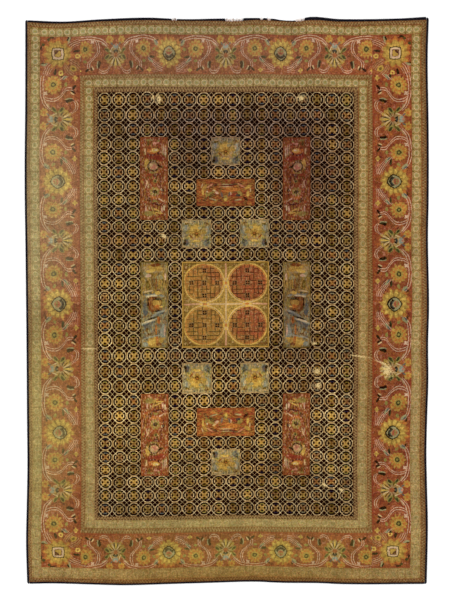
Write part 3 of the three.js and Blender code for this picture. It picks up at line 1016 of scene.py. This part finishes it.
def ageing_and_painted_light(name, fades_and_light, bald_spots):
    """A node group that ages a dye and paints uneven light on it: abrash bands, fading partly painted as
    broad light and shade, grain, and knots showing where the pile is worn
    """
    tree, loom, cloth, result = dye_group("aged_lit_" + name, "NodeSocketColor")
    place = loom.node("TexCoord").outputs["Object"]
    spot = loom.vector("MULTIPLY", place, (1 / MM, 1 / MM, 0))
    # Broad fades: abrash and fading, partly painted uneven light and shade
    for fade_and_light in fades_and_light:
        reach = loom.reach(spot, fade_and_light.x, fade_and_light.y, fade_and_light.half_x, fade_and_light.half_y)
        cloth = loom.mix(loom.math("MULTIPLY_ADD", reach, -1.43, 1.43), cloth, (*fade_and_light.tint, 1.0), "MULTIPLY")
        if fade_and_light.share:
            cloth = loom.mix(loom.spread(reach, 1.0, 0.3, 0.0, fade_and_light.share), cloth, dye(*fade_and_light.wash))
    # Abrash runs across the width, in bands
    bands = loom.noise(loom.vector("MULTIPLY", place, (0.35, 5.0, 0)), 1.6, 3.0)
    cloth = loom.shade(cloth, loom.spread(bands, 0.3, 0.7, 0.9, 1.08))
    cloth = loom.shade(cloth, loom.spread(loom.noise(place, 7.0, 4.0), 0.3, 0.7, 0.88, 1.12))
    # Light and dark at the size of a few knots, along the warps and the wefts
    warps = loom.noise(loom.vector("MULTIPLY", place, (1.0, 0.2, 0)), 90.0, 1.0)
    cloth = loom.shade(cloth, loom.spread(warps, 0.34, 0.66, 0.88, 1.13))
    wefts = loom.noise(loom.vector("MULTIPLY", place, (0.2, 1.0, 0)), 90.0, 1.0)
    cloth = loom.shade(cloth, loom.spread(wefts, 0.34, 0.66, 0.9, 1.11))
    grain = loom.noise(place, 95.0, 1.0)
    cloth = loom.shade(cloth, loom.spread(grain, 0.34, 0.66, 0.86, 1.16))
    for bald in bald_spots:
        reach = loom.reach(spot, bald.x, bald.y, bald.half_x, bald.half_y, bald.turn)
        ragged = loom.math("MULTIPLY_ADD", grain, 2.4, loom.math("ADD", reach, -1.0))
        cloth = loom.mix(loom.spread(ragged, 1.1, 0.3, 0.0, 0.9), cloth, dye(232, 202, 140))
    loom.feed(result, cloth)
    return tree


# Ageing groups; each also paints uneven light and shade in broad patches through its fades
FIELD_AGEING_AND_LIGHT = ageing_and_painted_light("field", FIELD_FADES_AND_LIGHT, BALD_SPOTS)
PANEL_AGEING_AND_LIGHT = ageing_and_painted_light("panel", FIELD_FADES_AND_LIGHT, ())
BAND_AGEING_AND_LIGHT = ageing_and_painted_light("band", BORDER_FADES_AND_LIGHT, BALD_SPOTS)
BORDER_AGEING_AND_LIGHT = ageing_and_painted_light("border", BORDER_FADES_AND_LIGHT, [spot for spot in BALD_SPOTS if spot.x > 1000])
AGEING_AND_LIGHT = {kind: BAND_AGEING_AND_LIGHT if kind in BANDS else PANEL_AGEING_AND_LIGHT for kind in KINDS}
AGEING_AND_LIGHT.update({"field": FIELD_AGEING_AND_LIGHT, "main_border": BORDER_AGEING_AND_LIGHT, "border_corner": BORDER_AGEING_AND_LIGHT})


def drawing(kind):
    """A node group that paints one part of the pattern from a chart place"""
    tree, loom, place, result = dye_group("drawing_" + kind, "NodeSocketVector")
    loom.feed(result, PAINTERS[kind](loom, place))
    return tree


DRAWINGS = {kind: drawing(kind) for kind in KINDS}


def open_material(name):
    """An empty material: itself, its loom and places on the object in metres"""
    material = bpy.data.materials.new(name)
    material.use_nodes = True
    tree = material.node_tree
    tree.nodes.clear()
    loom = Loom(tree)
    return material, loom, loom.node("TexCoord").outputs["Object"]


def matt_shader(loom, cloth, specular):
    shader = loom.node("BsdfPrincipled")
    loom.feed(shader.inputs["Base Color"], cloth)
    shader.inputs["Specular IOR Level"].default_value = specular
    return shader


def close_material(loom, shader, rough, height, strength, distance):
    """Gives a shader its roughness and fine bumps, and ends the material in it"""
    loom.feed(shader.inputs["Roughness"], rough)
    bump = loom.node("Bump")
    bump.inputs["Strength"].default_value = strength
    bump.inputs["Distance"].default_value = distance
    loom.feed(bump.inputs["Height"], height)
    loom.feed(shader.inputs["Normal"], bump.outputs[0])
    output = loom.node("OutputMaterial")
    loom.feed(output.inputs[0], shader.outputs[0])


# How far a knotter's lines stray, in knots, and in a stripe's centimetres
KNOT_SWAY = 4.5
STRIPE_SWAY = 0.6


def cloth_material(kind, woven_back):
    """Pile or woven back of one part of the pattern"""
    material, loom, place = open_material(("back_" if woven_back else "pile_") + kind)
    point = loom.node("UVMap", uv_map="chart").outputs[0]
    knots = KNOTS[kind]
    sway = loom.tints(loom.noise(place, 9.0, 2.0, channels=True))
    sway = loom.vector("SUBTRACT", loom.joined(*sway), (0.5, 0.5, 0))
    stray = STRIPE_SWAY if kind in STRIPES else KNOT_SWAY / knots
    point = loom.vector("MULTIPLY_ADD", sway, (stray, stray, 0), point)
    # Each knot takes the colour of its own middle
    size = 1 / knots
    point = loom.vector("SNAP", point, (size, size, 1))
    point = loom.vector("ADD", point, (size / 2, size / 2, 0))
    jitter, _ = loom.chance(point)
    cloth = loom.group(DRAWINGS[kind], point)
    # Ageing of the dye, with painted uneven light and shade in broad patches
    cloth = loom.group(AGEING_AND_LIGHT[kind], cloth)
    cloth = loom.shade(cloth, loom.spread(jitter, 0.0, 1.0, 0.9, 1.1))
    shader = matt_shader(loom, cloth, 0.02)
    tufts = loom.noise(place, 300.0 if woven_back else 420.0, 2.0)
    rough = loom.spread(tufts, 0.2, 0.8, 0.82, 0.98)
    close_material(loom, shader, rough, loom.math("ADD", tufts, jitter), 0.35, 0.0012)
    return material


def made_mesh(name, vertices, faces, maps=(), materials=(), smooth=True):
    """A mesh object from places in millimetres, with its maps by name"""
    mesh = bpy.data.meshes.new(name)
    mesh.from_pydata((np.array(vertices) * MM).tolist(), [], faces)
    for label, places in maps:
        layer_map = mesh.uv_layers.new(name=label)
        layer_map.data.foreach_set("uv", np.array(places, np.float32).ravel())
    for material in materials:
        mesh.materials.append(material)
    mesh.polygons.foreach_set("use_smooth", [smooth] * len(faces))
    mesh.update()
    made = bpy.data.objects.new(name, mesh)
    bpy.context.scene.collection.objects.link(made)
    return made


def vertices_of(name):
    """A CAD node's vertices, in millimetres"""
    mesh = NODES[name].data
    flat = np.zeros(len(mesh.vertices) * 3)
    mesh.vertices.foreach_get("co", flat)
    return flat.reshape(-1, 3) / MM


# An edge of the cloth: how near along it two corners are one place, how far in from the outermost
# of them still counts, and how far the edge wanders in all
SAME_PLACE = 20
RIM_DEPTH = 10
EDGE_WANDER = 45


def edge_line(points, axis, sign):
    """One edge of the knotted cloth, as a function of the way along it"""
    along, reach = points[:, axis], points[:, 1 - axis] * sign
    near = np.abs(along[:, None] - along) < SAME_PLACE
    outermost = reach > np.where(near, reach, -np.inf).max(1) - RIM_DEPTH
    rim = points[outermost & (reach > reach.max() - EDGE_WANDER)]
    order = np.argsort(rim[:, axis])
    return lambda place: np.interp(place, rim[order, axis], rim[order, 1 - axis])


BODY = vertices_of("carpet_body")
EDGES = {
    "left": edge_line(BODY, 1, -1),
    "right": edge_line(BODY, 1, 1),
    "bottom": edge_line(BODY, 0, -1),
    "top": edge_line(BODY, 0, 1),
}

# A gap between two grid lines: the side it belongs to, its band's level, and its two lines' places,
# which are +1 at a band's outer line and -1 at its inner one, or counts of cells in the field
Gap = namedtuple("Gap", "side level start end")
Line = namedtuple("Line", "side depth share")


def way_gaps(low, high, cells):
    """Gaps and lines of the grid, going from one edge of the cloth to the other"""
    gaps = []
    lines = [Line(low, 0.0, 0.0)]
    depth = 0.0
    for level, (width, steps) in enumerate(zip(BAND_WIDTHS[low], BAND_STEPS)):
        for step in range(steps):
            gaps.append(Gap(low, level, 1 - 2 * step / steps, 1 - 2 * (step + 1) / steps))
            lines.append(Line(low, depth + width * (step + 1) / steps, 0.0))
        depth += width
    for step in range(cells * CELL_STEPS):
        gaps.append(Gap("field", FIELD_LEVEL, step / CELL_STEPS, (step + 1) / CELL_STEPS))
        lines.append(Line("field", 0.0, (step + 1) / CELL_STEPS / cells))
    lines[-1] = Line(high, float(sum(BAND_WIDTHS[high])), 0.0)
    depth = float(sum(BAND_WIDTHS[high]))
    for level in reversed(range(FIELD_LEVEL)):
        width = BAND_WIDTHS[high][level]
        steps = BAND_STEPS[level]
        for step in range(steps):
            gaps.append(Gap(high, level, -1 + 2 * step / steps, -1 + 2 * (step + 1) / steps))
            lines.append(Line(high, depth - width * (step + 1) / steps, 0.0))
        depth -= width
    return gaps, lines


COLUMN_GAPS, COLUMN_LINES = way_gaps("left", "right", COLUMNS)
ROW_GAPS, ROW_LINES = way_gaps("bottom", "top", ROWS)


def straight(side):
    """The middle place of an edge that wanders"""
    along = np.linspace(-1500, 1500, 61) if side in ("top", "bottom") else np.linspace(-2100, 2100, 85)
    return float(EDGES[side](along).mean())


STRAIGHT = {side: straight(side) for side in EDGES}


def line_place(line, along, low, high, drift):
    """Where a grid line runs at places along it"""

    def banded(side, depth):
        total = sum(BAND_WIDTHS[side])
        wander = EDGES[side](along) - STRAIGHT[side]
        inwards = 1 if side == low else -1
        return STRAIGHT[side] + inwards * depth + wander * (1 - INNER_WANDER * depth / total)

    if line.side != "field":
        return banded(line.side, line.depth)
    first = banded(low, sum(BAND_WIDTHS[low]))
    last = banded(high, sum(BAND_WIDTHS[high]))
    return first + (last - first) * line.share - drift(line.share)


def table_drift(marks, line):
    """How far a grid line lies from its even place, between the marks of a table"""
    return np.interp(line, [mark.line for mark in marks], [mark.shift for mark in marks])


def column_drift(share):
    """How far a column line lies left of its even place, by its share of the field's width"""
    return table_drift(COLUMN_DRIFTS, share * COLUMNS)


def row_drift(share):
    """How far a row line lies below its even place, where share runs from the lower end to the upper"""
    return table_drift(ROW_DRIFTS, (1 - share) * ROWS)


def grid_points():
    """The grid's crossings, in millimetres, by row and column"""
    points = np.zeros((len(ROW_LINES), len(COLUMN_LINES), 2))
    for _ in range(3):
        for i, column in enumerate(COLUMN_LINES):
            points[:, i, 0] = line_place(column, points[:, i, 1], "left", "right", column_drift)
        for j, row in enumerate(ROW_LINES):
            points[j, :, 1] = line_place(row, points[j, :, 0], "bottom", "top", row_drift)
    return points


GRID = grid_points()


def panel_at(column, row):
    """The panel that a cell of the field belongs to, or None. Rows count from the upper end."""
    for panel in PANELS:
        if panel.left <= column <= panel.right and panel.upper <= row <= panel.lower:
            return panel
    return None


def repeats(low, high):
    """How many whole guard repeats fit between two places"""
    return max(1, round((high - low) / GUARD_PITCH))


def band_chart(level, side, t, along, span):
    """Chart place in a band, from its places across (t) and along. span runs from corner to corner."""
    half = BAND_WIDTHS[side][level] / 2
    is_side = side in ("left", "right")
    if level == MAIN_LEVEL:
        flowers = SIDE_FLOWERS if is_side else END_FLOWERS
        order = np.argsort(flowers)
        runs = np.arange(len(flowers)) * HALF_UNIT
        return float(np.interp(along, np.array(flowers)[order], runs)), HALF_BORDER * t - BORDER_AXIS[side]
    if level in GUARD_LEVELS:
        count = repeats(*span)
        return count * (along - span[0]) / (span[1] - span[0]), t * half / GUARD_PITCH
    return along / 10.0, t


def chart_corner(level, column_side, row_side, t_column, t_row):
    """Chart place where a side's band meets an end's band"""
    if level == MAIN_LEVEL:
        middle = CORNER_AXIS[column_side, row_side]
        return HALF_BORDER * t_column - middle[0], HALF_BORDER * t_row - middle[1]
    if level in GUARD_LEVELS:
        half = BAND_WIDTHS[column_side][level] / 2 / GUARD_PITCH
        return t_column * half + 0.5, t_row * half
    return t_column, t_row


# A face's corners, counter-clockwise from the lower left
RING = ((0, 0), (1, 0), (1, 1), (0, 1))


def face_chart(column, row, corners):
    """The kind of cloth in a face, and the chart places of its four corners"""
    kind_level = min(column.level, row.level)
    places = []
    if kind_level == FIELD_LEVEL:
        cell_column = int(column.start)
        cell_row = ROWS - 1 - int(row.start)
        panel = panel_at(cell_column, cell_row)
        for a, b in RING:
            u = (column.start, column.end)[a]
            v = ROWS - (row.start, row.end)[b]
            if panel:
                middle_u = (panel.left + panel.right + 1) / 2
                middle_v = (panel.upper + panel.lower + 1) / 2
                inwards = 1 if middle_u <= COLUMNS / 2 else -1
                endwards = 1 if middle_v <= ROWS / 2 else -1
                places.append((inwards * (u - middle_u) * CELL / 10, endwards * (middle_v - v) * CELL / 10))
            else:
                places.append((u, v))
        return (panel.kind if panel else "field"), places
    for a, b in RING:
        t_column = (column.start, column.end)[a]
        t_row = (row.start, row.end)[b]
        x, y = corners[b][a]
        if column.level == row.level:
            places.append(chart_corner(kind_level, column.side, row.side, t_column, t_row))
        elif column.level < row.level:
            span = [s * (sum(BAND_WIDTHS["top"][: kind_level + 1]) - STRAIGHT["top"]) for s in (1, -1)]
            places.append(band_chart(kind_level, column.side, t_column, y, span))
        else:
            span = [s * (sum(BAND_WIDTHS["left"][: kind_level + 1]) + STRAIGHT["left"]) for s in (1, -1)]
            places.append(band_chart(kind_level, row.side, t_row, x, span))
    kind = BANDS[kind_level]
    if kind_level == MAIN_LEVEL and column.level == row.level:
        kind = "border_corner"
    return kind, places


def relief(x, y):
    """Height of the pile over its ordinary level: soft unevenness, a crease and trodden places"""
    height = 0.22 * np.sin(x / 171 + 1.3 * np.sin(y / 263)) + 0.2 * np.sin(y / 97 + 1.1 * np.sin(x / 211))
    height += 0.12 * np.sin(x / 37 + y / 53) * np.sin(y / 41 - x / 67)
    crease = (y - CREASE_PLACE + 6 * np.sin(x / 140)) / CREASE_HALF
    height -= CREASE_DEPTH * np.exp(-(crease**2))
    for spot in BALD_SPOTS:
        reach = ((x - spot.x) / spot.half_x) ** 2 + ((y - spot.y) / spot.half_y) ** 2
        height -= BALD_DEPTH * np.exp(-reach)
    return height


def cloth_slab(name, floor_height, top_height, patterned_top):
    """A closed sheet on the grid, with its pattern's chart places and its own flat map"""
    rows, columns = GRID.shape[:2]
    lowest = GRID.reshape(-1, 2).min(0)
    size = GRID.reshape(-1, 2).max(0) - lowest
    x, y = GRID[..., 0].ravel(), GRID[..., 1].ravel()
    upper = np.stack([x, y, top_height(x, y)], 1)
    lower = np.stack([x, y, np.full(len(x), floor_height)], 1)
    layer = rows * columns
    faces, kinds, charts, flats = [], [], [], []

    def flat_main(x, y):
        return (x - lowest[0]) / size[0], 0.03 + 0.97 * (y - lowest[1]) / size[1]

    def flat_hidden(x, y):
        return (x - lowest[0]) / size[0], 0.014 * (y - lowest[1]) / size[1]

    def add(corners, kind, chart, flat):
        faces.append(corners)
        kinds.append(KINDS.index(kind))
        charts.extend(chart)
        flats.extend(flat)

    rims = []
    for j, row in enumerate(ROW_GAPS):
        for i, column in enumerate(COLUMN_GAPS):
            corners = GRID[j : j + 2, i : i + 2]
            kind, chart = face_chart(column, row, corners)
            ring = [j * columns + i, j * columns + i + 1, (j + 1) * columns + i + 1, (j + 1) * columns + i]
            places = [corners[0, 0], corners[0, 1], corners[1, 1], corners[1, 0]]
            maps = (flat_main, flat_hidden) if patterned_top else (flat_hidden, flat_main)
            add(ring, kind, chart, [maps[0](*p) for p in places])
            under = [layer + v for v in reversed(ring)]
            add(under, kind, chart[::-1], [maps[1](*p) for p in reversed(places)])
            on_rim = (j == 0, i == columns - 2, j == rows - 2, i == 0)
            for side in range(4):
                if on_rim[side]:
                    a, b = side, (side + 1) % 4
                    wall = [ring[a], layer + ring[a], layer + ring[b], ring[b]]
                    rims.append((wall, kind, (chart[a], chart[b])))
    for index, (ring, kind, (first, second)) in enumerate(rims):
        low, high = index / len(rims), (index + 1) / len(rims)
        flat = [(low, 0.026), (low, 0.018), (high, 0.018), (high, 0.026)]
        add(ring, kind, (first, first, second, second), flat)
    materials = [cloth_material(kind, not patterned_top) for kind in KINDS]
    maps = (("OFBake", flats), ("chart", charts))
    made = made_mesh(name, np.concatenate([upper, lower]), faces, maps, materials)
    made.data.polygons.foreach_set("material_index", kinds)
    made.data.update()
    return made


pile = cloth_slab("pile", PILE_BOTTOM, lambda x, y: PILE_TOP - PILE_SINK + relief(x, y), True)
woven_back = cloth_slab("woven_back", 0.0, lambda x, y: BACK_THICKNESS + 0 * x, False)

# Overcast edges: dark yarn wrapped round the side cords and ends
TURN_PITCH = 3.4
SECTION_POINTS = 10
GROOVE = 0.86
LEAN = 0.7
SQUARENESS = 0.7
MAP_ROWS = 12


def yarn_material():
    """Dark navy wool yarn, each turn a little different, rubbed brown in places"""
    material, loom, place = open_material("overcast_yarn")
    turn, around = loom.parts(loom.node("UVMap", uv_map="yarn").outputs[0])
    value, _ = loom.chance(loom.joined(loom.math("FLOOR", turn), 0.0))
    cloth = loom.mix(value, dye(6, 5, 10), dye(18, 17, 30))
    rubbed = loom.spread(loom.noise(place, 30.0, 4.0), 0.64, 0.76, 0.0, 0.4)
    cloth = loom.mix(rubbed, cloth, dye(74, 60, 48))
    drawn = loom.joined(loom.math("MULTIPLY", turn, 5.0), loom.math("MULTIPLY", around, 9.0))
    fibres = loom.noise(drawn, 2.0, 3.0)
    cloth = loom.shade(cloth, loom.spread(fibres, 0.3, 0.7, 0.7, 1.3))
    shader = matt_shader(loom, cloth, 0.1)
    shader.inputs["Sheen Weight"].default_value = 0.02
    shader.inputs["Sheen Tint"].default_value = (0.5, 0.5, 1.0, 1.0)
    close_material(loom, shader, loom.spread(fibres, 0.2, 0.8, 0.7, 0.92), fibres, 0.5, 0.0006)
    return material


def edge_stations(name, axis):
    """An overcast edge's places along, its two sides across and its height, from its CAD solid"""
    points = vertices_of(name)
    places, index = np.unique(np.round(points[:, axis], 1), return_inverse=True)
    across = points[:, 1 - axis]
    near = np.array([across[index == i].min() for i in range(len(places))])
    far = np.array([across[index == i].max() for i in range(len(places))])
    top = np.array([points[index == i, 2].max() for i in range(len(places))])
    return places, near, far, top


def wound_faces(last, axis, angles):
    """Faces of a wound edge, with their corners' places on the yarn and on the flat map"""
    faces, yarn, flats = [], [], []
    for k in range(last):
        for i in range(SECTION_POINTS):
            step = (i + 1) % SECTION_POINTS
            ring = [k * SECTION_POINTS + i, k * SECTION_POINTS + step]
            ring += [(k + 1) * SECTION_POINTS + step, (k + 1) * SECTION_POINTS + i]
            corners = [(k, i), (k, i + 1), (k + 1, i + 1), (k + 1, i)]
            if axis == 0:
                ring.reverse()
                corners.reverse()
            faces.append(ring)
            row = MAP_ROWS * k // last
            first, size = row * last / MAP_ROWS, last / MAP_ROWS
            for at, turn in corners:
                yarn.append((at / 2, turn / SECTION_POINTS))
                flats.append(((at - first) / (size + 1), (row + 0.96 * turn / SECTION_POINTS) / MAP_ROWS))
    for k, back in ((0, False), (last, True)):
        cap = [k * SECTION_POINTS + i for i in range(SECTION_POINTS)]
        if back != (axis == 1):
            cap.reverse()
        faces.append(cap)
        yarn += [(k / 2, i / SECTION_POINTS) for i in range(SECTION_POINTS)]
        height = 0.9 if back else 0.5
        flats += [(0.997 + 0.002 * cos(a), height + 0.002 * sin(a)) for a in angles]
    return faces, yarn, flats


def wrapped_edge(node, axis, material):
    """Yarn wound in close turns round an edge's cords, in place of its plain solid"""
    places, near, far, top = edge_stations(node, axis)
    rounds = max(2, round((places[-1] - places[0]) / TURN_PITCH))
    halves = np.arange(2 * rounds + 1)
    along = places[0] + (places[-1] - places[0]) * halves / (2 * rounds)
    low, high, tall = (np.interp(along, places, values) for values in (near, far, top))
    fullness = np.where(halves % 2 == 1, 1.0, GROOVE)
    angles = 2 * pi * np.arange(SECTION_POINTS) / SECTION_POINTS
    ways = (np.cos(angles), np.sin(angles))
    section_x, section_z = (np.sign(way) * np.abs(way) ** SQUARENESS for way in ways)
    across = (low + high)[:, None] / 2 + (high - low)[:, None] / 2 * fullness[:, None] * section_x
    up = tall[:, None] / 2 * (1 + fullness[:, None] * section_z)
    ends = np.minimum(1, np.minimum(along - along[0], along[-1] - along) / 4)
    lean = along[:, None] + LEAN * TURN_PITCH * 0.5 * ends[:, None] * section_z
    vertices = np.zeros((len(along), SECTION_POINTS, 3))
    vertices[..., axis] = lean
    vertices[..., 1 - axis] = across
    vertices[..., 2] = up
    faces, yarn, flats = wound_faces(len(along) - 1, axis, angles)
    maps = (("OFBake", flats), ("yarn", yarn))
    made = made_mesh("wrapped_" + node, vertices.reshape(-1, 3), faces, maps, [material])
    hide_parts(node)
    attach(made, "root")
    return made


YARN = yarn_material()
for node in NODES:
    if node.startswith("selvedge"):
        wrapped_edge(node, 1, YARN)
    elif "binding" in node:
        wrapped_edge(node, 0, YARN)

# Frayed upper end: where the binding has worn away, the cotton warps stick out
WARP_PITCH = 2.6
WARP_LENGTHS = (20, 32)
WARP_ASKEW = 5
WARP_HEIGHTS = (1.2, 3.2)
# A warp's rings: share of its length, and half width
WARP_RINGS = ((0.0, 1.2), (0.55, 1.1), (1.0, 0.4))


def cotton_material():
    """Undyed cotton yarn, soiled here and there with wool fluff"""
    material, loom, place = open_material("cotton_warp")
    cloth = loom.flecks(place, 200.0, "cotton", "blush", "plum", "pink", "cotton", "navy", "umber")
    fibres = loom.noise(place, 900.0, 2.0)
    cloth = loom.shade(cloth, loom.spread(fibres, 0.3, 0.7, 0.75, 1.15))
    shader = matt_shader(loom, cloth, 0.5)
    close_material(loom, shader, loom.spread(fibres, 0.2, 0.8, 0.8, 0.95), fibres, 0.4, 0.0004)
    return material


def worn_stretches():
    """Where no binding is left on the upper end, as ranges of x"""
    lengths = []
    for name in NODES:
        if name.startswith("upper_binding"):
            across = vertices_of(name)[:, 0]
            lengths.append((float(across.min()), float(across.max())))
    lengths.sort()
    return [(before[1], after[0]) for before, after in zip(lengths, lengths[1:])]


def frayed_warps():
    """Short cotton yarns of uneven length, each tapered and a little askew"""
    chance = np.random.default_rng(11)
    vertices, faces = [], []
    for low, high in worn_stretches():
        for x in np.arange(low + 1.5, high - 1.0, WARP_PITCH):
            start = float(EDGES["top"](x)) - 4.0
            length = chance.uniform(*WARP_LENGTHS)
            askew = chance.uniform(-WARP_ASKEW, WARP_ASKEW)
            height = chance.uniform(*WARP_HEIGHTS)
            first = len(vertices)
            for share, half in WARP_RINGS:
                for turn in range(4):
                    aside = half * cos(pi / 2 * turn)
                    up = half * sin(pi / 2 * turn)
                    bend = height + (WARP_HEIGHTS[0] - height) * share
                    vertices.append((x + askew * share + aside, start + length * share, bend + up))
            for ring in range(len(WARP_RINGS) - 1):
                for turn in range(4):
                    a = first + 4 * ring + turn
                    b = first + 4 * ring + (turn + 1) % 4
                    faces.append((a, a + 4, b + 4, b))
            faces.append(tuple(range(first, first + 4)))
            faces.append(tuple(reversed(range(len(vertices) - 4, len(vertices)))))
    made = made_mesh("frayed_warps", vertices, faces, materials=[cotton_material()], smooth=False)
    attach(made, "root")
    return made


warps = frayed_warps()

for piece in (pile, woven_back):
    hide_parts("carpet_body")
    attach(piece, "root")

# Stage: sizes in metres, turns in degrees
FLOOR_HALF = 9.0
WORLD_STRENGTH = 0.78
KEY_STRENGTH = 0.8
KEY_SPREAD = 25
KEY_TILT = (-28, -24, 0)


def white_floor():
    mesh = bpy.data.meshes.new("floor")
    corners = [(FLOOR_HALF * (2 * a - 1), FLOOR_HALF * (2 * b - 1), 0) for a, b in RING]
    mesh.from_pydata(corners, [], [(0, 1, 2, 3)])
    made = bpy.data.objects.new("floor", mesh)
    bpy.context.scene.collection.objects.link(made)
    material = bpy.data.materials.new("floor")
    material.use_nodes = True
    shader = material.node_tree.nodes["Principled BSDF"]
    shader.inputs["Base Color"].default_value = (0.93, 0.93, 0.93, 1)
    shader.inputs["Roughness"].default_value = 0.9
    shader.inputs["Specular IOR Level"].default_value = 0.0
    shader.inputs["Emission Color"].default_value = (1, 1, 1, 1)
    shader.inputs["Emission Strength"].default_value = 0.22
    mesh.materials.append(material)


def studio_light():
    world = bpy.data.worlds.new("studio")
    world.use_nodes = True
    world.node_tree.nodes["Background"].inputs["Strength"].default_value = WORLD_STRENGTH
    world.node_tree.nodes["Background"].inputs["Color"].default_value = (1, 1, 1, 1)
    bpy.context.scene.world = world
    lamp = bpy.data.lights.new("key", "SUN")
    lamp.energy = KEY_STRENGTH
    lamp.angle = radians(KEY_SPREAD)
    made = bpy.data.objects.new("key", lamp)
    made.rotation_euler = [radians(turn) for turn in KEY_TILT]
    bpy.context.scene.collection.objects.link(made)


def straight_down_camera():
    lens = bpy.data.cameras.new("camera")
    lens.lens = LENS
    lens.sensor_width = SENSOR
    made = bpy.data.objects.new("camera", lens)
    distance = PHOTO_HEIGHT * PIXEL * LENS / SENSOR
    made.location = (VIEW_CENTRE[0] * MM, VIEW_CENTRE[1] * MM, (PILE_TOP + distance) * MM)
    bpy.context.scene.collection.objects.link(made)
    bpy.context.scene.camera = made


white_floor()
studio_light()
straight_down_camera()
bpy.context.scene.view_settings.view_transform = "Standard"
